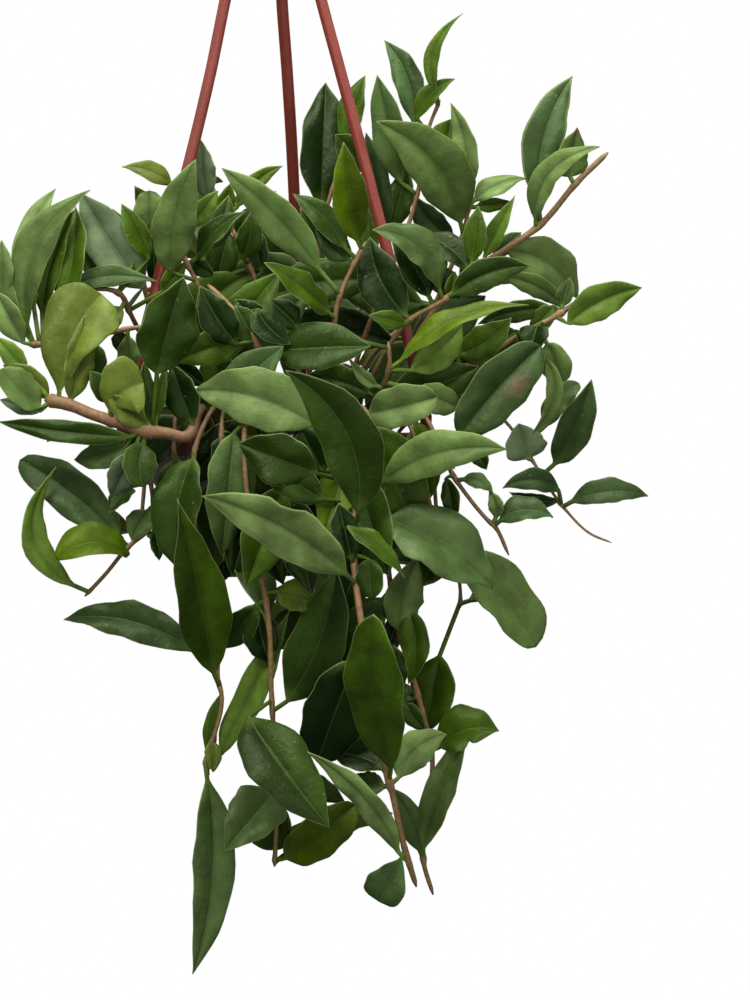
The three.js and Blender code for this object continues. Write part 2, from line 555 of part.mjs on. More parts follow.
function stemBody(spot, path, radii) {
  const soilLine = SOIL_CROWN - 2;
  const foot = [v3(spot.x, spot.y, soilLine - HOLE_DEPTH + 0.4), v3(spot.x, spot.y, soilLine + 6)];
  const way = foot.concat(path.map((p) => leaned(p.x, p.y, p.z)));
  const sizes = way.map((_, i) => mix(v3(radii[0], 0, 0), v3(radii[1], 0, 0), i / (way.length - 1)).x);
  return body(tube(way, sizes, STEM_SIDES));
}

// Whether a body keeps its distance from the pot, the hanger and every other plant.
function clearOf(piece, own) {
  return (
    fixed.every((other) => apart(piece, other, FREE)) &&
    plants.every((plant) => plant === own || plant.parts.every((other) => apart(piece, other, FREE)))
  );
}

// Fits a leaf: takes the first of its possible shapes that clears everything.
function fit(plant, tries, shapeOf, hidden) {
  for (let k = 0; k < tries; k++) {
    const rings = shapeOf(k);
    const cells = shadow(rings);
    if (!hidden(cells, k)) continue;
    const set = turned(rings);
    const blade = body(skin(set.slice(2)));
    const ownClear = plant.blades.every((other) => apart(blade, other, 0.15));
    const leaf = body(skin(set));
    if (ownClear && clearOf(leaf, plant)) {
      plant.parts.push(leaf);
      plant.blades.push(blade);
      return cells;
    }
    leaf.solid.delete();
    blade.solid.delete();
  }
  return null;
}

const group = new THREE.Group();

function add(name, manifold, color) {
  const mesh = new THREE.Mesh(
    geometryOf(manifold).translate(0, 0, -HANG),
    new THREE.MeshStandardMaterial({ color, roughness: 0.5 }),
  );
  mesh.name = name;
  group.add(mesh);
}

// The pot: an open bowl with a thin turned-down lip, a foot ring and drain holes.
const LIP_LOW = RIM_TOP - LIP_DEPTH;
const floorTop = POT_BOTTOM + FOOT_H + FLOOR;
const potShell = lathe(
  [
    [0, POT_BOTTOM + FOOT_H], [BASE_R - 5, POT_BOTTOM + FOOT_H], [BASE_R - 4, POT_BOTTOM],
    [BASE_R, POT_BOTTOM], WAIST, SHOULDER, [MOUTH_R, RIM_TOP - 1.5], [LIP_R - 1.5, RIM_TOP - 1.5],
    [LIP_R - 1.3, LIP_LOW], [LIP_R, LIP_LOW], [LIP_R, RIM_TOP - 1], [LIP_R - 1, RIM_TOP],
    [MOUTH_R - 0.4, RIM_TOP], [SHOULDER[0] - WALL, SHOULDER[1]], [WAIST[0] - WALL, WAIST[1]],
    [BASE_R - 1.4, floorTop], [0, floorTop],
  ],
  POT_SIDES,
);
let pot = solid(potShell);
for (let k = 0; k < DRAINS; k++) {
  const turn = (2 * Math.PI * k) / DRAINS;
  const [x, y] = [DRAIN_RING_R * Math.cos(turn), DRAIN_RING_R * Math.sin(turn)];
  pot = pot.subtract(solid(upright(DRAIN_R, 8, x, y, POT_BOTTOM - 1, floorTop + 1)));
}

// The hanger: three flat arms snapped into pockets of a round hub that carries the hook.
function armBody(deg, grow) {
  const turn = THREE.MathUtils.degToRad(deg);
  const path = ARM_PATH.map(([r, z]) => v3(r * Math.cos(turn), r * Math.sin(turn), z));
  const half = ARM_WIDTH / 2 + grow;
  const low = -0.4 * ARM_THICK - grow;
  const high = 0.2 * ARM_THICK + grow;
  const section = [[-half, low], [half, low], [0.7 * half, high], [0, high + 1.2], [-0.7 * half, high]];
  const across = v3(-Math.sin(turn), Math.cos(turn), 0);
  const end = path.at(-1);
  end.addScaledVector(end.clone().sub(path.at(-2)).normalize(), grow);
  return body(sweep(path, () => section, () => across));
}

const hookPath = [
  [0, HUB_SHOULDER], [0, 262], [6, 266], [11.5, 272.5], [HOOK_R, HOOK_CENTRE], [12.1, 288],
  [7, 293.1], [0, HOOK_CENTRE + HOOK_R], [-7, 293.1], [-12.1, 288], [-HOOK_R, HOOK_CENTRE],
  [-13, 275],
].map(([x, z]) => v3(x, 0, z));
let hook = solid(
  lathe(
    [
      [0, HUB_BOTTOM], [HUB_R - 1, HUB_BOTTOM], [HUB_R, HUB_BOTTOM + 1.5], [HUB_R, HUB_SHOULDER],
      [HUB_R - 1.5, HUB_SHOULDER + 2], [HUB_NECK_R, HUB_TOP], [0, HUB_TOP],
    ],
    18,
  ),
).add(solid(tube(hookPath, hookPath.map(() => HOOK_WIRE_R), 6)));
const armNames = ["back", "left", "right"];
const arms = [];
for (let k = 0; k < ARM_COUNT; k++) {
  const deg = ARM_FIRST_DEG + (360 / ARM_COUNT) * k;
  arms.push(armBody(deg, 0));
  hook = hook.subtract(armBody(deg, 1.4 * GAP).solid);
}

fixed.push({ solid: pot, box: boxOf(pot) }, { solid: hook, box: boxOf(hook) }, ...arms);

// Every stem stands in its own hole in the soil.
for (const [name, [spot, way, thick, thin]] of Object.entries(STEMS)) {
  const path = way.map((p) => v3(...p));
  const stem = stemBody(v3(spot[0], spot[1], 0), path, [thick, thin]);
  plants.push({ name, path, thick, spot, parts: [stem], blades: [stem] });
}

// Puts the front leaves on their stems, nearest first.
LEAVES.forEach((row, i) => {
  const [name, x0, z0, x1, z1, width, bow, lean, form, petiole = 0.08] = row;
  const plant = plants.find((other) => other.name === name);
  const root = rootOn(plant.path, x0, z0);
  const shape = (k) => {
    const sway = (which) => 2 * draw(i, k, which) - 1;
    const foot = v3(x0, root.y + 0.05 * k * sway(0), z0);
    const tip = v3(x1, 0, z1);
    const reach = Math.hypot(x1 - x0, z1 - z0);
    tip.y = foot.y + reach * (1.4 * lean + (0.35 + 0.01 * k) * sway(1));
    const roll = (-0.35 * (x1 - x0)) / reach + (0.5 + 0.002 * k) * sway(2);
    const arch = 0.05 + (0.04 + 0.001 * k) * sway(3);
    const size = ((1 - 0.002 * k) * width) / Math.cos(roll);
    return leafRings(root, foot, tip, v3(0, -1, 0), { form, width: size, bow, roll, arch, petiole });
  };
  const cells =
    fit(plant, TRIES, shape, (under) => share(under, inFront) < 0.03) ??
    fit(plant, TRIES, shape, () => true);
  if (!cells) throw new Error(`no room for the leaf of ${name} at ${x0} ${z0}`);
  for (const [cell, y] of cells) near[cell] = Math.min(near[cell], y);
});

// More leaves on the front stems wherever the crown is closed but still bare.
plants.slice().forEach((plant, i) => {
  const line = new THREE.CurvePath();
  plant.path.slice(1).forEach((p, n) => line.add(new THREE.LineCurve3(plant.path[n], p)));
  const places = Math.floor(line.getLength() / FRONT_STEP);
  for (let j = 1; j <= places; j++) {
    const root = line.getPointAt((j - 0.5) / places);
    const shape = (k) => {
      const pick = (which) => draw(2000 + i, j, k, which);
      const turn = 2 * Math.PI * pick(0);
      const way = v3(Math.cos(turn), 0.36 * (pick(1) - 0.45), Math.sin(turn)).normalize();
      const length = 36 + 22 * pick(2);
      const tip = root.clone().addScaledVector(way, length);
      const facing = v3(0.4 * (pick(3) - 0.5), -1, 0.3 * pick(4));
      return leafRings(root, root.clone().addScaledVector(way, 0.5), tip, facing, {
        form: "a", width: length * (0.38 + 0.12 * pick(5)), bow: 0.16 * (pick(6) - 0.5),
        roll: 0.3 * (pick(7) - 0.5), arch: 0.01 + 0.06 * pick(8), petiole: 0.1, plain: true,
      });
    };
    const useful = (under, k) =>
      share(under, covered) > 0.95 && share(under, bare) > mixed(FRONT_WISH, FRONT_NEED, k / FRONT_TRIES);
    const cells = fit(plant, FRONT_TRIES, shape, useful);
    if (cells) for (const [cell, y] of cells) near[cell] = Math.min(near[cell], y);
  }
});

// A stem that climbs out of the soil, bends outwards and, on even counts, hangs.
function fillStem(i, k) {
  const pick = (which) => draw(i, k, which);
  const hangs = i % 2 === 0;
  const part = (i + 0.2 + 0.6 * pick(0)) / FILL_STEMS;
  const out = THREE.MathUtils.degToRad(FILL_FIRST_DEG + FILL_SPAN_DEG * part);
  const from = hangs ? 18 + 25 * pick(1) : 6 + 26 * pick(1);
  const spot = v3(from * Math.cos(out), from * Math.sin(out), 0);
  const turn = THREE.MathUtils.degToRad(hangs ? 24 + 10 * pick(2) : 6 + 9 * pick(2));
  const least = THREE.MathUtils.degToRad(hangs ? -84 : 12);
  const steps = hangs ? 8 + Math.floor(6 * pick(3)) : 5 + Math.floor(4 * pick(3));
  const path = [];
  let at = v3(spot.x, spot.y, 0);
  for (let n = 1; n <= steps; n++) {
    const climb = Math.max(Math.PI / 2 - turn * n, least);
    const way = out + 0.5 * (pick(3 + n) - 0.5);
    const step = v3(
      Math.cos(climb) * Math.cos(way),
      Math.cos(climb) * Math.sin(way),
      Math.sin(climb),
    );
    at = at.clone().addScaledVector(step, FILL_STEP);
    path.push(at);
  }
  return { spot, path };
}

for (let i = 0; i < FILL_STEMS; i++) {
  for (let k = 0; k < FILL_TRIES; k++) {
    const { spot, path } = fillStem(i, k);
    const spots = path.slice(1).flatMap((p, n) => [0, 0.33, 0.67].map((t) => mix(path[n], p, t)));
    if (!spots.every((p) => covered(cellOf(p), p.y))) continue;
    const stem = stemBody(spot, path, [1.5, 1]);
    if (!clearOf(stem, null)) continue;
    plants.push({ name: `back_${i + 1}`, path, thick: 1.5, spot: [spot.x, spot.y],
      parts: [stem], blades: [stem], fill: true });
    break;
  }
}

// Leaves around a stem from its tip down, each step a quarter turn from the last.
function clothe(plant, key, step, each, turnSpread) {
  const { path } = plant;
  const spans = path.slice(1).map((p, n) => p.distanceTo(path[n]));
  const length = spans.reduce((sum, span) => sum + span, 0);
  for (let j = 0; 1.5 + j * step < length - 10; j++) {
    let left = 1.5 + j * step;
    let n = spans.length - 1;
    while (left > spans[n]) {
      left -= spans[n];
      n -= 1;
    }
    const [a, b] = [path[n], path[n + 1]];
    const root = mix(b, a, left / spans[n]);
    const along = b.clone().sub(a).normalize();
    const out = v3(root.x, root.y, 0).normalize();
    const across = along.clone().cross(out).normalize();
    const behind = across.clone().cross(along);
    for (let pair = 0; pair < each; pair++) {
      const shape = (k) => {
        const pick = (which) => draw(key, j, pair, k, which);
        const turn = ((j % 2) / 2 + pair) * Math.PI + (turnSpread + 0.02 * k) * (2 * pick(0) - 1);
        const way = across.clone().multiplyScalar(Math.cos(turn))
          .addScaledVector(behind, Math.sin(turn))
          .addScaledVector(along, 0.25 + 0.5 * pick(1))
          .addScaledVector(UP, 0.1 + 0.7 * pick(2))
          .addScaledVector(out, 0.35 * pick(3))
          .normalize();
        const reach = (52 + 20 * pick(4)) * (1 - 0.004 * k);
        const foot = root.clone().addScaledVector(way, 0.5);
        const tip = foot.clone().addScaledVector(way, reach);
        const facing = out.clone().multiplyScalar(0.7 + 0.4 * pick(5)).add(UP);
        return leafRings(root, foot, tip, facing, {
          form: "a", width: reach * (0.3 + 0.1 * pick(6)), bow: 0.16 * (pick(7) - 0.5),
          roll: 0.7 * (pick(8) - 0.5), arch: 0.02 + 0.1 * pick(9), petiole: 0.1, plain: true,
        });
      };
      fit(plant, FILL_TRIES, shape, (under) => share(under, covered) > 0.97);
    }
  }
}
plants.forEach((plant, i) => {
  if (plant.fill) clothe(plant, 1000 + i, PAIR_STEP, 2, 0.4);
  else clothe(plant, 1000 + i, LONE_STEP, 1, 3);
});

// Potting soil with one hole for each stem.
const edgeShare = (SOIL_EDGE - WAIST[1]) / (SHOULDER[1] - WAIST[1]);
const soilEdgeR = mixed(WAIST[0], SHOULDER[0], edgeShare) - WALL - 1.3 * GAP;
let soil = solid(
  lathe(
    [
      [0, floorTop + GAP], [BASE_R - 1.9, floorTop + GAP],
      [WAIST[0] - WALL - 1.3 * GAP, WAIST[1]], [soilEdgeR, SOIL_EDGE],
      [34, SOIL_CROWN - 0.8], [0, SOIL_CROWN],
    ],
    POT_SIDES,
  ),
);
for (const { spot, thick } of plants) {
  const bottom = SOIL_CROWN - 2 - HOLE_DEPTH;
  soil = soil.subtract(solid(upright(1.42 * (thick + 0.45), STEM_SIDES, spot[0], spot[1], bottom, 2)));
}

add("pot", pot, "#8a4436");
add("soil", soil, "#3a2d24");
add("hanger_hook", hook, "#8a4436");
arms.forEach((arm, k) => add(`hanger_arm_${armNames[k]}`, arm.solid, "#8a4436"));
for (const { name, parts } of plants) {
  const grown = parts.map(({ solid: one }) => one).reduce((all, one) => all.add(one));
  const pieces = grown.decompose().sort((a, b) => b.volume() - a.volume());
  add(`stem_${name}`, pieces[0].simplify(TRIM), "#4c5c2a");
}

export default group;
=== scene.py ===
"""Builds a lipstick plant in a hanging pot around its solid model, as a set of operators."""

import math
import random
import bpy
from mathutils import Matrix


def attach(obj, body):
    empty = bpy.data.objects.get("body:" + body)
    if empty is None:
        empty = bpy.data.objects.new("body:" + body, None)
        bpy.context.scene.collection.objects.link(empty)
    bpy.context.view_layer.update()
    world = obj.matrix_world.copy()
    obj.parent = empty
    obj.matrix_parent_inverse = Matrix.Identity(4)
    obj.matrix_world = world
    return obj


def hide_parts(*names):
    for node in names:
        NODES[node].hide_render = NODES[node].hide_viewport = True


bl_info = {
    "name": "Lipstick plant in a hanging pot",
    "version": (1, 0, 0),
    "blender": (4, 5, 0),
    "location": "View3D > Sidebar > Hanging plant",
    "description": "Dresses the solids of a potted trailing plant and its three-armed hanger",
    "category": "Object",
}

import bmesh
import bpy
from mathutils import Vector, kdtree, noise

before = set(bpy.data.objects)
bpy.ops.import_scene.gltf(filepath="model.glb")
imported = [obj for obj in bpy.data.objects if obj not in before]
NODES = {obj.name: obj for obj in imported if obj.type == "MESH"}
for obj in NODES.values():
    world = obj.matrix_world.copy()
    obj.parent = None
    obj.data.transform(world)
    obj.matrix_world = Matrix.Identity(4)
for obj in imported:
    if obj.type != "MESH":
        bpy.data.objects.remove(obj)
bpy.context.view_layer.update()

# Lengths are in millimetres, with heights from just above the pot's rim, as in the solids.
MM = 0.001
HANG = 292
LEAN = math.radians(1.13)
SEED = 41

RIM_TOP = -2
LIP_R = 67
LIP_DEPTH = 8
WALL = 1.9
MOUTH_R = 62.5
SHOULDER = (60, -9)
WAIST = (49.5, -26)
BASE_R = 42
POT_BOTTOM = -58.5
FOOT_H = 2.2
FLOOR = 2.4
DRAIN_R = 4
DRAIN_RING_R = 26
DRAINS = 5
DRAIN_SIDES = 40
DRILL_LENGTH = 12
DRILL_RISE = 3
SOIL_EDGE = -11
SOIL_CROWN = -7
SOIL_FLAT_R = 34
SOIL_RINGS = 44
SOIL_SIDES = 150
CRUMB_STRETCH = ((0.7, 1.4), (0.6, 1.1), (0.45, 0.8))
HOLE_DEPTH = 14

# How far apart the rings of a swept piece are.
ARM_STEP = 2.0
HOOK_STEP = 1.2
STEM_STEP = 2.4

ARM_FIRST_DEG = 84.2
ARM_NAMES = ("back", "left", "right")
ARM_PATH = (
    (63.4, -12.6), (67, -12.2), (69.3, -9.4), (69.9, -2), (70.9, 4), (68.2, 14), (52.6, 72),
    (40.9, 112), (30.2, 148), (23.2, 172), (5, 237.6),
)
ARM_SECTION = (
    (-2.3, -1.3), (-1.8, -1.8), (1.8, -1.8), (2.3, -1.3), (2.3, 0.5), (1.9, 1.2), (0.9, 1.6),
    (0.5, 2.3), (0, 2.5), (-0.5, 2.3), (-0.9, 1.6), (-1.9, 1.2), (-2.3, 0.5),
)
# How far each thin arm is bent to the right by its load.
ARM_BENDS = (1.2, 2.4, 0.5)
HUB_R = 8.5
HUB_BOTTOM = 231
HUB_SHOULDER = 243
HUB_TOP = 254
HUB_NECK_R = 3.4
HUB_SIDES = 56
HOOK_R = 2.9
HOOK_SIDES = 20
HOOK_PATH = (
    (0, 243), (0, 262), (6, 266), (11.5, 272.5), (14, 281), (12.1, 288), (7, 293.1), (0, 295),
    (-7, 293.1), (-12.1, 288), (-14, 281), (-13, 275),
)

# Each stem: its spot in the soil, the way it takes, and its radii at soil and tip.
STEMS = {
    "front_centre": [[3, -44], [[7, -60, 10], [11, -76, 8], [14, -85, -6], [16.4, -89, -26.8],
        [22, -92, -36], [27, -94, -52], [29.4, -95, -62], [31.5, -95, -77], [35.6, -93, -104],
        [40.4, -88, -131.6], [43.6, -84, -144], [48, -76, -164], [53.2, -68, -181.6]], 1.9, 1.5],
    "front_right": [[19, -41], [[28, -58, 8], [33, -71, 7], [38, -78, -8], [40, -78, -34],
        [43, -74, -62], [47.6, -71, -84.8], [52, -68, -99], [55.6, -65, -112], [59.6, -60, -131],
        [58, -56, -150], [56, -53, -171], [60, -50, -185.6]], 1.5, 1.2],
    "front_left": [[-9, -44], [[-12, -60, 8], [-14, -75, 7], [-15, -83, -8], [-12, -83, -40],
        [-5.6, -78, -73.6], [-4, -70, -110.4], [-2, -62, -142.8], [-3.2, -56, -174]], 1.5, 1.2],
    "left_trailing": [[-21, -40], [[-26, -57, 8], [-29, -69, 6], [-35, -74, -10], [-33, -73, -50],
        [-26, -69, -85], [-25.6, -67, -99], [-24, -66, -107], [-28.4, -62, -125.6],
        [-30.8, -60, -132.4], [-29.2, -59, -137.5]], 1.4, 1],
    "left_front": [[-29, -28], [[-32, -48, 7], [-34, -66, 6], [-38, -74, -3], [-45, -75, -1.6],
        [-54.4, -75, -0.4], [-65.2, -73, 2.8], [-75.2, -71, 6], [-85, -68, 10], [-94.4, -65, 12]],
        2.3, 2.4],
    "low_left": [[-38, -24], [[-46, -42, 9], [-51, -56, 8], [-55, -62, -6], [-52, -62, -24],
        [-52, -61, -38], [-62, -61, -47.2], [-70, -60, -57], [-78.8, -58, -66.4]], 1.2, 1],
    "left_mid": [[-27, -12], [[-27, -24, 20], [-30, -36, 36], [-37, -44, 41.4], [-48, -46, 41.2],
        [-59, -46, 40.8], [-73.6, -46, 37.6], [-88, -45, 35], [-102, -44, 34]], 1.2, 1],
    "left_upper": [[-38, -6], [[-47, -8, 22], [-57, -14, 38], [-62, -28, 48], [-66, -36, 55],
        [-78, -36, 57], [-90, -35, 58]], 1.4, 1.1],
    "top_left": [[-16, -18], [[-22, -24, 20], [-28, -30, 42], [-34, -33, 58], [-40, -34, 70],
        [-44, -33, 84]], 1.4, 1],
    "top_mid": [[-3, 2], [[-5, -4, 30], [-10, -7, 56], [-18, -7, 76], [-26, -6, 90],
        [-30, -5, 100]], 1.4, 1],
    "centre_left": [[-4, -28], [[-7, -44, 12], [-8.4, -54, 28], [-12, -55, 38], [-20, -53, 48],
        [-30, -49, 58]], 1.8, 1.4],
    "centre_twig": [[12, -22], [[15, -34, 12], [19, -44, 30], [20.8, -48, 44], [22, -50, 51],
        [28.8, -51, 67], [33.2, -50, 75.2]], 1.5, 1],
    "bud_centre": [[28, -27], [[34, -44, 10], [40, -56, 17], [42.6, -60, 26], [42, -60, 35]],
        1.4, 1],
    "right_upper": [[36, -8], [[46, -14, 22], [58, -20, 44], [72, -24, 60], [87, -26, 71],
        [104, -26, 83.2], [117.6, -25, 99.2], [130.4, -25, 111.6]], 1.8, 1.5],
    "right_front": [[23, -26], [[32, -38, 14], [44, -47, 36], [52, -50, 44.8], [63.6, -51, 51.2],
        [76, -51, 61.6]], 1.4, 1],
    "top_right": [[22, -8], [[30, -12, 30], [42, -18, 62], [52, -20, 88], [56, -20, 106],
        [58, -20, 120], [63, -20, 133]], 1.4, 0.9],
    "top_branch": [[40, 6], [[52, 2, 30], [64, -8, 58], [72, -15, 78], [75, -18, 92],
        [77, -18, 99]], 1.4, 1],
    "top_centre": [[8, 8], [[12, 8, 40], [15, 6, 80], [21, 5, 102], [26, 5, 115]], 1.4, 1],
    "right": [[41, -17], [[54, -32, 9], [61, -36, 20], [76.8, -38, 27], [93, -38, 37],
        [109.2, -37, 45.6], [117, -36, 51], [124, -36, 57]], 1.5, 1.1],
    "right_side": [[45.5, -3], [[60, -8, 9], [72, -14, 14], [82, -18, 9], [89.2, -20, 3.6],
        [100, -20, -12], [108, -20, -24.8], [112.8, -20, -31.2], [122.8, -20, -41.2],
        [132, -20, -45.2]], 1.1, 0.6],
    "right_lower": [[36.5, -27], [[48, -47, 8], [56, -58, 6], [63, -64, -8], [68, -66, -18.4],
        [74.8, -66, -28], [81.6, -66, -36], [84.4, -66, -38.4], [90, -65, -50]], 1.2, 1],
    "right_hanging": [[29, -35], [[40, -50, 4], [48, -60, 5], [54, -65, -8], [60, -64, -34],
        [68, -60, -52], [70.6, -57, -62], [70.8, -55, -71]], 1.1, 0.9],
    "curtain_left": [[-34.5, -30], [[-39, -49, 7], [-42, -58, 8], [-43, -63, 0], [-43, -63, -20],
        [-41, -63, -46]], 1.2, 1],
    "curtain_mid_left": [[-15, -43], [[-20, -62, 7], [-23, -71, 8], [-24, -76, 0], [-24, -77, -20],
        [-23, -77, -52]], 1.2, 1],
    "curtain_mid": [[-3, -46], [[-2, -64, 7], [0, -72, 8], [0, -77, 0], [1, -78, -20],
        [3, -78, -56]], 1.2, 1],
    "curtain_mid_right": [[11, -44.5], [[21, -61, 7], [24, -69, 8], [26, -74.5, 0], [27, -76, -20],
        [28, -76, -54]], 1.2, 1],
    "left_back": [[-36, 8], [[-46, 4, 28], [-55, -2, 52], [-57, -4, 70], [-54, -5, 86]], 1.4, 1],
}

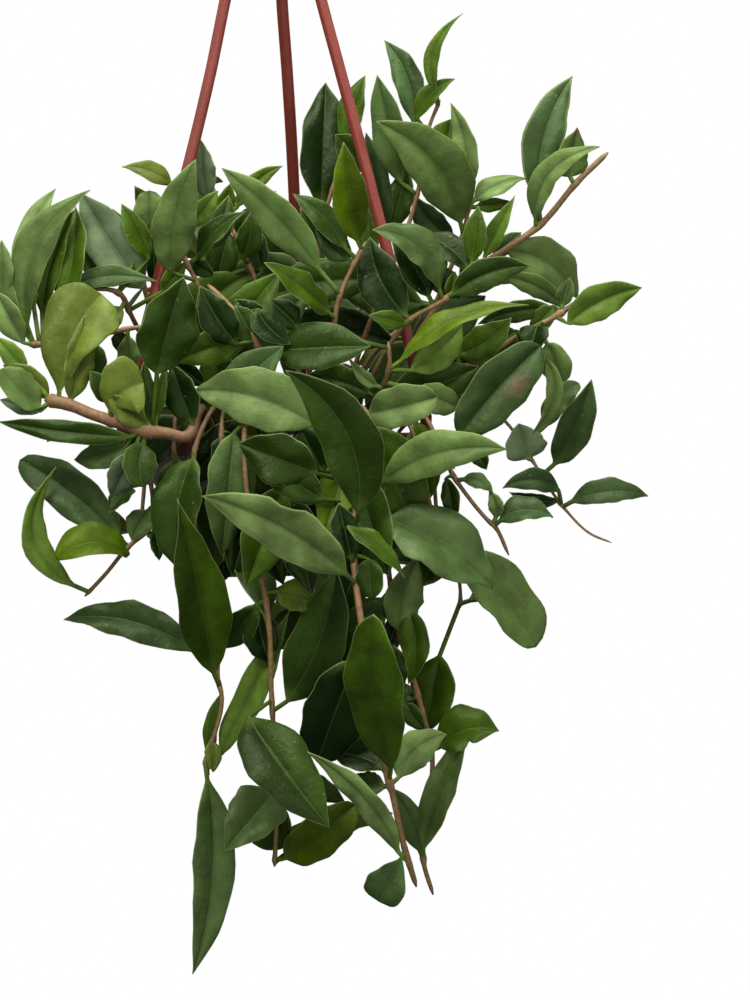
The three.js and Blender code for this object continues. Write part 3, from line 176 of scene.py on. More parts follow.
# Each listed leaf: tone, stem, foot x z, tip x z, width, sideways bow, lean, form, petiole.
# Tones: K deepest, D dark, N dark grey-green, M middle, S sage, G grey-green, H pale grey-green,
# L light, Y yellow-green, U underside, P dusty. K and N are painted shade inside the crown, D is
# painted shade as well as older leaves' colour, and S, G and H are painted light on leaves that
# face the lamps.
LEAVES = (
    ("D", "front_centre", 29.2, -39.2, 1.6, 22.8, 24, -0.17, -0.15, "a"),
    ("M", "front_centre", 44.4, -138.4, 36, -72.8, 20.5, 0.03, -0.2, "a"),
    ("D", "front_left", -0.8, -111.6, 21.6, -54.4, 23, -0.07, -0.2, "a"),
    ("M", "left_trailing", -26.4, -102.4, -40.8, -27.6, 21.5, -0.01, -0.15, "n"),
    ("H", "front_centre", 29.2, -61.2, -31.2, -26.4, 21, -0.07, -0.1, "a"),
    ("M", "front_centre", 23.2, -37.6, 48.8, -59.2, 7.5, 0.08, -0.25, "n"),
    ("H", "front_right", 46.8, -82.4, 54, -50.8, 15.5, 0.08, -0.1, "a"),
    ("D", "front_right", 55, -64, 67.2, -35.6, 16.5, 0, 0, "a"),
    ("L", "left_trailing", -27.6, -134.4, 3.2, -71.2, 10.5, 0.07, -0.1, "n"),
    ("D", "front_left", -17.2, -108, 18.8, -157.2, 21.5, -0.02, -0.1, "a"),
    ("H", "front_centre", 47.2, -172.8, 10, -128, 14, -0.085, -0.1, "a"),
    ("G", "front_right", 55.2, -170.8, 74, -118.8, 14.5, 0.06, -0.15, "a"),
    ("S", "front_left", -2, -143, -22.8, -167.2, 22, 0, -0.1, "d"),
    ("S", "left_trailing", -31.2, -132.8, -35.6, -216.4, 18.5, 0.08, 0, "a"),
    ("Y", "front_left", -1, -172, 29.2, -148.8, 19.5, -0.02, 0, "r"),
    ("D", "front_left", 4, -147, -12, -165, 16, 0.1, 0.1, "a"),
    ("M", "front_right", 61.2, -127.2, 86, -118.4, 18, 0.15, 0, "a"),
    ("H", "front_centre", 45.6, -140, 65.2, -120.8, 15, 0.15, 0.1, "a"),
    ("K", "front_centre", 42, -136, 19.6, -129.2, 13, -0.1, 0.15, "a"),
    ("S", "front_centre", 45, -141, 27.6, -136.8, 10, 0.1, 0.1, "a"),
    ("S", "front_right", 55.2, -170.8, 42, -142, 11, -0.08, 0.1, "a"),
    ("N", "front_centre", 46.8, -168, 38, -187.5, 17, 0, 0.1, "r"),
    ("D", "front_centre", 34, -47, 35.6, -66.8, 11, 0, 0.1, "r"),
    ("K", "front_centre", 30, -88, 14, -131, 24, 0, 0.1, "r"),
    ("N", "front_right", 51, -113.6, 47.6, -100.8, 6.5, 0, 0.1, "r"),
    ("M", "right_hanging", 70.8, -70.4, 57, -121, 15, 0.1, 0, "a", 0.2),
    ("M", "front_right", 48, -68, 50, -101, 11.5, 0.12, 0.1, "a"),
    ("S", "front_left", -6.4, -78, -26, -45.6, 12.5, -0.15, 0, "a"),
    ("K", "front_left", -10, -70, -8, -92, 12.5, 0.1, 0.1, "a"),
    ("D", "front_left", -9, -68, -22, -84, 9, 0, 0.2, "a"),
    ("Y", "front_left", -3, -64, 13, -68, 13, 0, 0.1, "r"),
    ("N", "left_trailing", -31.2, -92.8, -87.2, -75.6, 16.5, -0.09, 0, "a"),
    ("H", "front_right", 32, 6, 61.6, 12.8, 17, -0.02, -0.1, "r"),
    ("G", "front_right", 36.8, -24, 88.8, -8, 17.5, 0.11, -0.1, "a"),
    ("S", "front_right", 35, -33, 83.6, -63, 26, 0.05, 0, "a"),
    ("G", "right_hanging", 68, -48, 102.4, -87, 22.5, 0.04, 0, "r"),
    ("N", "right_lower", 68, -6, 102.8, 33.2, 22, 0.03, 0.1, "r"),
    ("H", "front_centre", 19, -3.2, -35.6, 15.2, 24.5, -0.1, -0.05, "a"),
    ("D", "front_centre", 20, -20, -17.2, -5.6, 21, 0, 0, "a"),
    ("S", "front_left", -18.8, 2.4, -24, -50, 20, 0, 0, "a"),
    ("D", "left_trailing", -33, -8, -41, -56, 20, -0.09, 0.05, "a"),
    ("H", "bud_centre", 52, 16, 69.6, 9.2, 12.5, 0, 0, "r"),
    ("H", "bud_centre", 40, 16.4, 26.4, 28.8, 5.5, 0.1, -0.1, "n"),
    ("D", "bud_centre", 38, 12, 8.4, 20.8, 13.5, -0.08, 0, "a"),
    ("D", "centre_left", -6, 31.2, 35.2, 33.2, 20, 0, 0, "a"),
    ("D", "left_front", -51.2, 1.2, -37.2, 60, 23.5, 0.03, -0.05, "a", 0.36),
    ("U", "left_front", -68, -0.4, -54.8, 18.4, 17, 0.2, -0.1, "d"),
    ("U", "left_front", -53, 7, -66, 12, 7.5, 0, 0, "a"),
    ("U", "left_front", -88.8, 6.8, -72, 54, 26, 0.12, -0.1, "r"),
    ("U", "left_upper", -61.2, 53.2, -74.4, 38, 9, 0, -0.2, "a"),
    ("N", "left_upper", -88, 56, -50, 59.2, 9, 0.1, -0.1, "n"),
    ("G", "left_front", -92, 6, -112, 24, 13, 0.05, 0, "r"),
    ("P", "left_front", -93, 6.8, -113, 12, 8, 0, -0.1, "n"),
    ("D", "left_front", -55.2, -4.8, -113.2, 3.2, 14, 0.02, 0.05, "a"),
    ("D", "left_front", -54.4, -4.4, -55, -22.8, 14, -0.1, 0, "r"),
    ("S", "left_front", -60, -6, -82.8, -12, 12, 0.05, 0.1, "a"),
    ("P", "left_front", -58, -8, -68, -27, 13, 0, 0.15, "a"),
    ("D", "low_left", -60, -22, -69, -33.2, 8.4, 0, 0, "d"),
    ("Y", "low_left", -58.8, -50.8, -94, -50.8, 14.5, -0.2, -0.1, "r"),
    ("L", "low_left", -78, -64.8, -90, -14.8, 11, 0.3, 0, "n"),
    ("N", "low_left", -62, -46, -105.2, -15, 18.5, -0.06, 0.1, "r"),
    ("S", "low_left", -52, -30, -60, -46, 11, 0, 0, "a"),
    ("D", "low_left", -51, -38, -49, -52, 6, 0, 0, "a"),
    ("G", "left_mid", -101, 36, -77.2, 96, 13.5, 0.18, 0, "a"),
    ("G", "top_left", -44.4, 55.2, -34.8, 108, 17.5, 0.07, -0.05, "a"),
    ("P", "left_upper", -54, 54, -81.2, 95.2, 19, 0.02, 0, "a"),
    ("M", "left_mid", -90, 44, -83.2, 89.6, 12.5, -0.05, 0.1, "a"),
    ("H", "left_mid", -98, 44, -91.6, 97.2, 13, 0.12, 0.2, "a"),
    ("H", "left_mid", -101, 30, -115, 56, 11, 0, 0.1, "a"),
    ("G", "left_mid", -103, 40, -116, 78, 12, 0.1, 0.15, "a"),
    ("G", "left_mid", -62, 40, -62, 20, 9, 0, 0.1, "a"),
    ("D", "left_mid", -75, 36, -76, 18, 10, 0, 0.1, "a"),
    ("K", "left_front", -34, -2, -44, 26, 14, 0, 0.2, "a"),
    ("M", "centre_left", -12, 36, -42, 27, 15, -0.05, 0, "a"),
    ("G", "centre_twig", 20, 55.2, -24.4, 104.4, 15.5, -0.05, 0, "a", 0.16),
    ("M", "centre_twig", 20, 44.8, -7.2, 66.4, 10.5, -0.03, -0.15, "a"),
    ("K", "centre_left", -11, 50, 3.2, 34, 12.5, -0.1, 0, "a"),
    ("Y", "centre_twig", 30.8, 72.4, 24.4, 114, 14.5, 0.03, -0.1, "a"),
    ("M", "right_front", 53.6, 41, 34.4, 45.6, 7.5, 0, -0.15, "a"),
    ("S", "right_front", 62.8, 52.8, 35.6, 79.6, 14, -0.2, -0.1, "a"),
    ("K", "right_front", 51.6, 43.2, 34.8, 77.2, 19, 0.1, 0, "a"),
    ("Y", "bud_centre", 44, 23.6, 98, 49.6, 8.5, 0.12, -0.1, "n"),
    ("L", "bud_centre", 49, 22, 71.6, 42, 14, -0.05, 0.05, "a"),
    ("M", "right", 68, 30, 91.2, 44.8, 14, -0.1, 0, "a"),
    ("D", "right", 76, 24, 95, 40, 12, 0, 0.1, "a"),
    ("D", "centre_twig", 26, 70, 4, 94, 10.5, -0.08, 0.15, "a"),
    ("D", "top_left", -35.2, 67.2, -14.4, 87.6, 9, 0.1, -0.1, "n"),
    ("D", "top_left", -31.2, 70, -22, 94.4, 10, -0.05, 0, "a"),
    ("D", "top_mid", -20, 64.8, -13.2, 88, 11, -0.1, -0.1, "a"),
    ("K", "top_mid", -8.4, 62, -14, 86, 9, 0, 0, "a"),
    ("M", "right_front", 75.2, 65.2, 78, 89.2, 9.8, 0, -0.1, "a"),
    ("D", "right_front", 65.6, 52, 98.8, 65.2, 13, 0.1, -0.05, "a"),
    ("L", "right_upper", 80, 68, 92.8, 94, 8, 0, 0, "n"),
    ("K", "right_front", 74.8, 62, 56.4, 77.6, 12, -0.1, 0.1, "a"),
    ("G", "top_branch", 71.6, 79.2, 37.2, 123.6, 20.5, -0.09, -0.15, "a"),
    ("H", "top_branch", 73.2, 92, 67.2, 131.6, 11.5, -0.08, 0.1, "a"),
    ("M", "top_right", 64, 106, 67.2, 125.2, 13.5, 0, 0.05, "a"),
    ("H", "top_branch", 74.8, 90.8, 98, 101.6, 6.5, 0.08, 0, "n"),
    ("M", "top_branch", 75.6, 89.6, 92.8, 92, 4.5, 0, -0.1, "n"),
    ("M", "top_right", 52.8, 120, 68.8, 141.2, 9.5, 0.15, -0.1, "a"),
    ("L", "top_right", 62.8, 132.4, 71.2, 167.2, 8, 0.2, 0, "n"),
    ("N", "top_right", 53, 120, 41.2, 157.2, 13, -0.1, 0.1, "a"),
    ("S", "top_right", 48, 96, 37.6, 142.8, 14.5, 0, 0.1, "a"),
    ("M", "top_centre", 26, 112, 32.8, 144, 10.5, 0.07, 0, "a"),
    ("D", "top_centre", 34, 94, 20.8, 119.6, 14, -0.1, 0, "a"),
    ("K", "top_centre", 15.6, 88, 16.8, 141.6, 17.5, 0, 0.05, "a"),
    ("H", "right_upper", 101.6, 80.8, 126.4, 113.2, 11, 0.18, -0.1, "n"),
    ("N", "right_upper", 102.4, 84, 116.4, 142.8, 15, 0.12, 0.1, "a", 0.14),
    ("G", "right_upper", 115.2, 100, 121, 120.4, 9, 0.05, 0.1, "d"),
    ("H", "right_upper", 83.6, 72.8, 118.4, 53.2, 17, 0.14, 0.1, "a"),
    ("G", "right_upper", 86, 62, 113.2, 48.8, 9, 0.1, 0, "a"),
    ("D", "right", 111, 47, 115, 61, 7, 0, 0.1, "a"),
    ("L", "right", 112, 40, 143.6, 56, 14.5, 0.02, 0, "a"),
    ("K", "right", 103, 45, 99, 32, 12.5, 0, -0.1, "r"),
    ("H", "right", 104.8, 36, 111, 19, 12.5, 0.05, 0.05, "r"),
    ("G", "right", 103, 32, 97.6, -3.2, 7, 0.23, 0.05, "n"),
    ("N", "right_side", 107.2, -16, 123.6, 20.4, 14.5, -0.05, 0, "a"),
    ("S", "right_side", 105, 0, 119, 19, 10, 0.1, 0.1, "r"),
    ("P", "right_side", 100, -11.6, 95.6, 2.8, 15, 0, -0.1, "d"),
    ("N", "right_side", 114, -28, 88, -23.2, 9.5, -0.2, 0, "a"),
    ("N", "right_side", 113.2, -30, 146.8, -26.4, 10.5, 0.1, 0, "a"),
    ("N", "right_lower", 84.4, -38, 107.6, -34.8, 10.5, 0.17, -0.05, "a"),
    ("S", "right_lower", 68.8, -20.4, 83.6, -24.8, 6.5, 0.15, 0, "a"),
    ("H", "right_lower", 84, -37.2, 82, -24.4, 7.5, -0.15, 0.1, "a"),
    ("D", "right_lower", 66.5, -18.8, 72.8, -40, 7.5, 0.05, 0.1, "a"),
    ("L", "top_left", -38, 80, -26, 96, 8, 0, 0.1, "a"),
    ("P", "top_mid", -28, 92, -32.4, 117.2, 9, -0.1, 0, "a"),
    ("U", "left_back", -52, 90, -65.2, 106.4, 6.5, 0, -0.1, "n"),
    ("H", "left_back", -54, 78, -54, 96.8, 13, 0, 0, "r"),
    ("Y", "top_mid", -20, 88, -0.4, 106.8, 7.5, 0.1, 0, "a"),
    ("D", "curtain_mid_left", -24, -12, -33, -60, 18, 0.05, 0, "a"),
    ("M", "curtain_mid", 1, -20, -14, -62, 21, 0, 0, "a"),
    ("K", "curtain_mid", 2, -24, 12, -66, 19, 0, 0, "a"),
    ("D", "curtain_mid_right", 28, -14, 42, -58, 19, 0, 0, "a"),
    ("D", "curtain_left", -42, -8, -45, -47, 15, 0, 0, "a"),
    ("D", "curtain_mid_left", -24, -2, -8, -36, 16, 0, 0, "a"),
    ("D", "curtain_mid", 0, -6, 16, -40, 17, 0, 0, "a"),
    ("Y", "curtain_mid_right", 27, -8, 16, -44, 16, 0, 0, "a"),
)

# Leaves between those of the solids: tone, stem, foot x z, tip x z, width, bow, and how far
# they sit behind their stem. Most are K and D, painted shade in the gaps behind the leaves in
# front.
FILLERS = (
    ("H", "left_mid", -111.6, 52, -112.4, 76, 9, 0, 2),
    ("L", "left_front", -101.2, 22.4, -114, 36.8, 9, 0, 3),
    ("U", "left_front", -92.4, 11.2, -111.2, 25.6, 10, -0.08, 3),
    ("M", "left_mid", -96.4, 43.2, -83.6, 88, 10, 0.06, 4),
    ("M", "left_upper", -74.4, 56.8, -79.6, 72.8, 6.5, 0, 3),
    ("M", "left_upper", -53.2, 67.2, -64.8, 90.8, 10, 0, 4),
    ("K", "left_back", -52, 56.8, -53.2, 79.2, 7, 0, 3),
    ("M", "left_upper", -49.2, 54.8, -38.8, 67.6, 8, 0, 2),
    ("K", "top_left", -37.2, 67.2, -27.6, 61.6, 7, 0, 2),
    ("D", "top_mid", -27.2, 60, -22, 80.8, 13.5, 0, 2),
    ("Y", "top_mid", -24.8, 84.8, -21.6, 99.6, 8, 0, 1),
    ("N", "top_right", 41.2, 77.6, 33.2, 120, 12, 0, 5),
    ("D", "top_right", 43.6, 80, 50, 106.4, 12, 0, 5),
    ("N", "top_branch", 70, 76, 52.4, 94.8, 12, 0.1, 4),
    ("K", "right_front", 58.8, 52, 43.6, 74.8, 14, -0.05, 4),
    ("N", "centre_twig", 27.6, 67.2, 13.2, 80, 11.5, 0, 3),
    ("D", "top_centre", 14.4, 73.6, 6.8, 90, 7, 0, 3),
    ("D", "right", 110, 48.4, 78, 42.4, 9, -0.06, 3),
    ("M", "right", 109.2, 50.4, 98.8, 38.4, 9, 0, 2),
    ("N", "right_upper", 83.6, 69.2, 95.6, 79.6, 8, 0, 3),
    ("M", "right_front", 66.4, 52, 68.8, 63.2, 6, 0, 3),
    ("U", "left_trailing", -28.8, -123.2, -27.6, -136.4, 7, 0.05, 1),
    ("D", "front_right", 47.2, -108, 56.8, -120, 8, 0, 3),
    ("D", "front_left", 6, -136.8, 25.2, -148.8, 9, 0, 3),
    ("K", "front_right", 47.6, -69.6, 40.4, -92, 9, 0, 4),
    ("K", "front_centre", 43.6, -84, 46.8, -105.6, 9, 0, 6),
    ("D", "right_lower", 74.8, -4, 81.2, -16, 8, 0, 4),
    ("K", "bud_centre", 6.8, 40, -5.2, 52, 12, 0, 5),
    ("K", "centre_left", -8.4, 40, -18.8, 52, 12, 0, 5),
    ("M", "left_trailing", -27.6, -133.6, -23.6, -104, 6, 0.1, 2),
    ("D", "left_front", -53.2, 1.6, -54.8, 27.2, 8, 0, 3),
    ("M", "left_front", -50, 4, -46.4, 25.6, 5, 0, 2),
    ("K", "centre_left", -30.8, 17.6, -44.4, 27.2, 8, 0, 4),
    ("D", "top_mid", -18.8, 78.4, -14.4, 90, 7, 0, 2),
    ("M", "top_right", 36, 69.6, 33.2, 90, 8, 0, 3),
    ("K", "curtain_mid_left", -13.2, -36, -19.6, -58.4, 13, 0, 2),
    ("K", "curtain_mid", -8.4, -37.6, 0.4, -61.6, 13, 0, 3),
    ("K", "curtain_mid_left", -20.4, -0.8, -24.4, -17.6, 12, 0, 2),
    ("D", "left_front", -66, 10.4, -76.4, 23.2, 10, 0, 4),
    ("K", "right_side", 111.6, -28, 90.8, -24.8, 6, 0.1, 1),
    ("D", "front_centre", 18.8, -28.8, -8.4, -2.8, 16, 0.1, 3),
    ("K", "front_centre", 16.8, -17.6, 6, 2.4, 15, 0, 5),
    ("K", "front_centre", 27.6, -52.8, 22.4, -29.2, 13, 0, 4),
    ("K", "curtain_left", -20.4, -36.8, -24.8, -61.6, 13, 0, 3),
    ("K", "curtain_mid", 1.2, -4, -8.4, 2.4, 10, 0, 3),
    ("D", "left_mid", -64.4, 40, -66, 31.2, 7, 0, 2),
    ("K", "centre_left", -17.2, 32.8, -32.8, 57.2, 15, 0.05, -3),
    ("D", "centre_left", -10, 34, -18.8, 49.6, 12, 0, -1),
    ("M", "left_upper", -58.8, 67.2, -68.4, 88.8, 9, 0, 5),
    ("N", "right_front", 71.6, 52, 56.4, 67.2, 11, 0, 5),
    ("D", "right", 94.8, 40, 78, 31.2, 11, 0, 4),
    ("K", "right", 67.6, 12, 58, 28, 12, 0, 5),
    ("U", "left_front", -84.8, 9.6, -78.4, 45.6, 12, -0.03, 1.5),
    ("U", "left_front", -52.4, 1.2, -69.2, 14.4, 10, 0.05, -1.5),
)

# How far the upper part of a stem is eased to the right and back, behind the leaves it carries.
EASED = {"front_centre": ((3, 2), (6, 6), (9, 9), (10.6, 9), (6.5, 8), (1.5, 6), (0, 3))}

# A leaf's outline, by the powers with which it narrows to its foot and its tip: a usual, r round,
# n narrow to the tip, d full at the foot, b blunt, w widest near the tip.
FORMS = {
    "a": (0.75, 1), "r": (0.5, 0.5), "n": (0.8, 1.3), "d": (0.4, 0.9), "b": (0.8, 0.62),
    "w": (1.1, 0.42),
}

# How the solids draw and place their leaves and the stems at the back.
TRIES = 90
SHORTEST = 2.5
FILL_STEMS = 12
FILL_FIRST_DEG = -6
FILL_SPAN_DEG = 192
FILL_STEP = 15
FILL_TRIES = 80
PAIR_STEP = 31
LONE_STEP = 84
FRONT_STEP = 13
FRONT_TRIES = 260
UP = Vector((0, 0, 1))

# The first numbers of the draws and of the leaves' own keys, kept apart for each way of placing.
CLOTHING_DRAW = 1000
FRONT_DRAW = 2000
TONE_DRAW = 77
FILLER_KEY = 700
FRONT_KEY = 5000
CLOTHING_KEY = 9000

# Stems and stalks, in millimetres: half a stalk's width and its half thickness, the stem that
# counts as old, how slim the others are, and how far a stem swells where a leaf leaves it.
STALK_HALF = 0.95
STALK_THICK = 0.8
OLD_STEM_R = 2
SLIM = 0.8
SWELLING = 0.28
STEM_SIDES = 9
# A distance from a rib or margin at which neither shows.
FAR = 9.0
DEAD_LEAF = (0.10, 0.055, 0.03)

# The lamps: name, place and size in metres, and power in watts.
LAMPS = (
    ("softbox_left", (-0.8, -1.5, 1.3), 0.8, 38),
    ("softbox_right", (1.5, -1.7, 0.5), 0.9, 13.5),
    ("softbox_top", (0.1, -0.25, 1.1), 0.9, 29),
    ("softbox_low", (0.1, -2.3, -0.55), 1.2, 11),
    ("softbox_back", (0.5, 2.1, 0.3), 1.2, 11),
)
LAMPS_AIM = Vector((0, 0, -0.32))
FLOOR_SIZE = 9
FLOOR_GLOW = 0.55
PAPER_FIBRE = 10 * MM
# What the camera sees: the middle of its view and the view's height at the hook's line.
VIEW_MIDDLE = Vector((36.8, 0, -28))
VIEW_HEIGHT = 404
SENSOR = 36
FAR_CLIP = 40

# A colour Mix node's sockets: the colour below, the colour laid over it, and what comes out.
MIX_BELOW = 6
MIX_OVER = 7
MIX_OUT = 2
# Nearly all of a noise's values lie between these.
NOISE_SPAN = {"From Min": 0.3, "From Max": 0.7}

# What sets single leaves apart, by their row in LEAVES. Against its solid, a leaf is wide times as
# wide, bowed further by bend, has another form, and its foot and tip are moved across and up, or
# all of it back, in millimetres. twist is in radians, and wave tells how much its margins wave.
# The key for the halves is painted light: how much lighter its left half is painted than its
# right, as lamps light the two sides of a fold. shade is painted shade: how light the leaf is
# painted in all. notch tells how deep a bite in one margin is. pale widens the pale margin and rib
# the midrib, torn browns the tip, and spot is a brown patch.
MARKED = {
    1: {"wide": 1.1, "form": "b"}, 2: {"painted_halves": 0.3}, 3: {"painted_halves": -0.3},
    4: {"notch": 0.2, "pale": 1}, 8: {"twist": 0.8, "wide": 1.2, "bend": -0.08},
    9: {"painted_halves": 0.35, "wide": 1.18}, 10: {"wide": 0.74, "foot": (0.5, 1), "tip": (0, 0.6)},
    11: {"wide": 0.86, "bend": -0.02}, 13: {"wide": 0.92, "bend": -0.012}, 14: {"wide": 0.92},
    16: {"notch": 0.34, "foot": (0, -0.8), "tip": (0, -1.2)},
    21: {"foot": (1.5, 0), "tip": (0.5, 0), "form": "w"}, 23: {"shade": 0.75, "wide": 1.05},
    25: {"foot": (-6.8, -11.6), "bend": -0.1, "wide": 1.2},
    28: {"tip": (3.5, -1), "wide": 1.2, "bend": -0.15, "back": 9},
    29: {"wide": 1.35, "tip": (-1, -3)},
    31: {"foot": (0, 2), "wide": 0.95, "bend": -0.02},
    35: {"wide": 0.94, "foot": (0.4, 0.5), "tip": (-1.5, 0.4), "bend": 0.015}, 36: {"spot": 1},
    38: {"wave": 2.6}, 39: {"rib": 1}, 45: {"foot": (-1.5, 0), "tip": (-1.5, 0)},
    46: {"wide": 1.4, "bend": 0.04, "form": "w"},
    48: {"form": "w", "bend": -0.02, "twist": 0.5, "wide": 1.06},
    53: {"wide": 0.68, "foot": (0, 1.5)}, 56: {"shade": 0.6},
    58: {"wide": 0.9, "tip": (4, -0.8), "foot": (0, -0.8)}, 60: {"tip": (0, 3), "bend": 0.02},
    61: {"tip": (0, 2), "wide": 1.08}, 63: {"wide": 1.1}, 65: {"rib": 1, "wide": 1.12},
    77: {"painted_halves": 0.35}, 94: {"wide": 1.15, "bend": -0.05}, 95: {"wide": 0.87},
    96: {"wide": 1.25}, 97: {"wide": 1.35}, 98: {"wide": 1.3}, 99: {"wide": 0.82},
    100: {"wide": 0.78, "tip": (0.8, 0)},
    101: {"painted_halves": 0.3, "wide": 0.92, "foot": (-0.6, 0), "tip": (-0.6, 0)},
    105: {"shade": 0.8, "wide": 1.12, "foot": (-1, -2)}, 106: {"bend": 0.02, "form": "d"},
    107: {"pale": 1, "wide": 1.1, "bend": -0.03}, 108: {"torn": 1, "wide": 1.5, "tip": (-3, 1)},
    109: {"wide": 1.12}, 112: {"bend": 0.06, "foot": (0, 0.6), "tip": (0, 1)},
    118: {"foot": (-1.5, -1), "tip": (-1, 0), "wide": 1.15}, 123: {"wide": 0.85},
    124: {"foot": (-2, 1), "tip": (-5, 3)},
    126: {"wide": 1.1, "bend": 0.12, "foot": (-2.5, 0), "tip": (-1, 0)},
    127: {"foot": (8, 8), "bend": -0.1, "wide": 1.3},
}


def draw(*keys):
    """A repeatable draw between 0 and 1 for a list of whole numbers, the same as the solids'."""
    mask = 0xFFFFFFFF
    h = SEED
    for k in keys:
        h = ((h ^ (k + 101)) * 16777619) & mask
        h ^= h >> 13
    h = (h * 2246822519) & mask
    h ^= h >> 15
    h = (h * 3266489917) & mask
    return (h ^ (h >> 16)) / 4294967296


def mixed(a, b, t):
    """The value at share t between a and b."""
    return a + (b - a) * t


def smooth(low, high, value):
    """A soft step from 0 at low to 1 at high."""
    t = min(max((value - low) / (high - low), 0), 1)
    return t * t * (3 - 2 * t)


def leaned(p):
    """A point of the crown, laid out upright and then leaned."""
    cos, sin = math.cos(LEAN), math.sin(LEAN)
    return Vector((p.x * cos + p.z * sin, p.y, p.z * cos - p.x * sin))


def upright(p):
    """A point of the leaned crown, back where it was laid out."""
    cos, sin = math.cos(LEAN), math.sin(LEAN)
    return Vector((p.x * cos - p.z * sin, p.y, p.z * cos + p.x * sin))


def placed(p):
    """A point in millimetres over the rim, as metres under the hook."""
    return Vector((p.x * MM, p.y * MM, (p.z - HANG) * MM))


def linear(code):
    """A #rrggbb colour as linear red, green, blue and a full alpha."""
    parts = [int(code[i:i + 2], 16) / 255 for i in (1, 3, 5)]
    return (
        *(c / 12.92 if c <= 0.04045 else ((c + 0.055) / 1.055) ** 2.4 for c in parts), 1.0
    )


def colour(name, code, description):
    """A setting for a colour."""
    return bpy.props.FloatVectorProperty(
        name=name, description=description, default=linear(code), size=4, subtype="COLOR",
        min=0, max=1,
    )


def length(name, millimetres, description):
    """A setting for a length."""
    return bpy.props.FloatProperty(
        name=name, description=description, default=millimetres * MM, unit="LENGTH",
        subtype="DISTANCE", min=0, precision=4,
    )


class PotSettings(bpy.types.PropertyGroup):
    # Painted shade: the pot's plastic is painted much darker than the hanger's, standing in for
    # the crown's shade on it.
    plastic: colour("Plastic", "#43241a", "Colour of the moulded pot")
    arm_plastic: colour("Arm plastic", "#762a1b", "Colour of the hanger")
    speckle: length("Speckle", 0.9, "Width of the cloudy specks in the plastic")
    sides: bpy.props.IntProperty(
        name="Sides", description="Faces round the pot", default=112, min=24, max=256
    )


class SoilSettings(bpy.types.PropertyGroup):
    peat: colour("Peat", "#2b2019", "Colour of the damp peat")
    crumb: length("Crumb", 2.6, "Width of the larger crumbs")
    crumbs: bpy.props.IntProperty(
        name="Crumbs", description="Loose crumbs on the soil", default=620, min=0, max=4000
    )


class PlantSettings(bpy.types.PropertyGroup):
    # Painted light and shade in the tones: deep and shady are painted shade inside the crown, dark
    # is painted shade as well as older leaves' colour, and sage, grey and pale are painted light
    # on leaves that face the lamps.
    deep: colour("Deepest", "#0a2102", "Leaves that hardly see light")
    dark: colour("Dark", "#223709", "Older leaves")
    shady: colour("Dark grey-green", "#2f4421", "Waxy leaves in shade")
    middle: colour("Middle", "#334b06", "Most leaves")
    sage: colour("Sage", "#3e5228", "Waxy leaves half in light")
    grey: colour("Grey-green", "#4e6330", "Leaves that take the light flat on")
    pale: colour("Pale grey-green", "#5f753e", "The waxiest leaves in full light")
    light: colour("Light", "#546e24", "Younger leaves")
    yellow: colour("Yellow-green", "#445803", "The youngest leaves")
    underside: colour("Underside", "#546221", "Lower side of the leaves")
    dusty: colour("Dusty", "#627452", "Leaves with a dull bloom on them")
    bark: colour("Bark", "#87663f", "Skin of the stems")
    old_bark: colour("Old bark", "#86603c", "Skin of the thickest stem")
    blade: length("Blade", 0.8, "Thickness of a leaf between its midrib and its margin")
    margin: length("Margin", 0.42, "Width of the pale line along a leaf's margin")


class StageSettings(bpy.types.PropertyGroup):
    distance: length("Camera distance", 4000, "From the camera to the hook's line")
    floor: length("Floor", 760, "From the hook down to the floor")
    paper: colour("Paper", "#f4f4f2", "Colour of the floor")
    fill: bpy.props.FloatProperty(
        name="Fill", description="Faint light from all round", default=0.21, min=0, max=2
    )


def add_node(tree, kind, inputs=(), **settings):
    """Adds a shader node, gives it its settings, and sets or links its inputs."""
    made = tree.nodes.new(kind)
    for name, value in settings.items():
        setattr(made, name, value)
    for name, value in dict(inputs).items():
        if isinstance(value, bpy.types.NodeSocket):
            tree.links.new(value, made.inputs[name])
        else:
            made.inputs[name].default_value = value
    return made


def new_material(name):
    """An empty node material and its surface shader."""
    material = bpy.data.materials.new(name)
    material.use_nodes = True
    return material, material.node_tree, material.node_tree.nodes["Principled BSDF"]


def mottled(tree, base, cloud, least, most):
    """A colour that darkens and lightens with a cloudy pattern."""
    lift = add_node(
        tree, "ShaderNodeMapRange",
        {"Value": cloud.outputs["Fac"], **NOISE_SPAN, "To Min": least, "To Max": most},
    )
    toned = add_node(
        tree, "ShaderNodeHueSaturation", {"Color": base, "Value": lift.outputs["Result"]}
    )
    return toned.outputs["Color"]


def overlaid(tree, base, pattern, span, strengths, code, step="LINEAR"):
    """A colour with another laid over it, as strongly as a pattern tells between two values."""
    share = add_node(
        tree, "ShaderNodeMapRange",
        {"Value": pattern, "From Min": span[0], "From Max": span[1], "To Min": strengths[0],
         "To Max": strengths[1]},
        interpolation_type=step,
    )
    laid = add_node(
        tree, "ShaderNodeMix",
        {"Factor": share.outputs["Result"], MIX_BELOW: base, MIX_OVER: linear(code)},
        data_type="RGBA",
    )
    return laid.outputs[MIX_OUT]


def embossed(tree, shader, *reliefs):
    """Gives a surface its fine relief, each with its pattern, strength and height."""
    below = {}
    for pattern, strength, height in reliefs:
        bump = add_node(
            tree, "ShaderNodeBump",
            {"Height": pattern.outputs["Fac"], "Strength": strength, "Distance": height, **below},
        )
        below = {"Normal": bump.outputs["Normal"]}
    tree.links.new(below["Normal"], shader.inputs["Normal"])


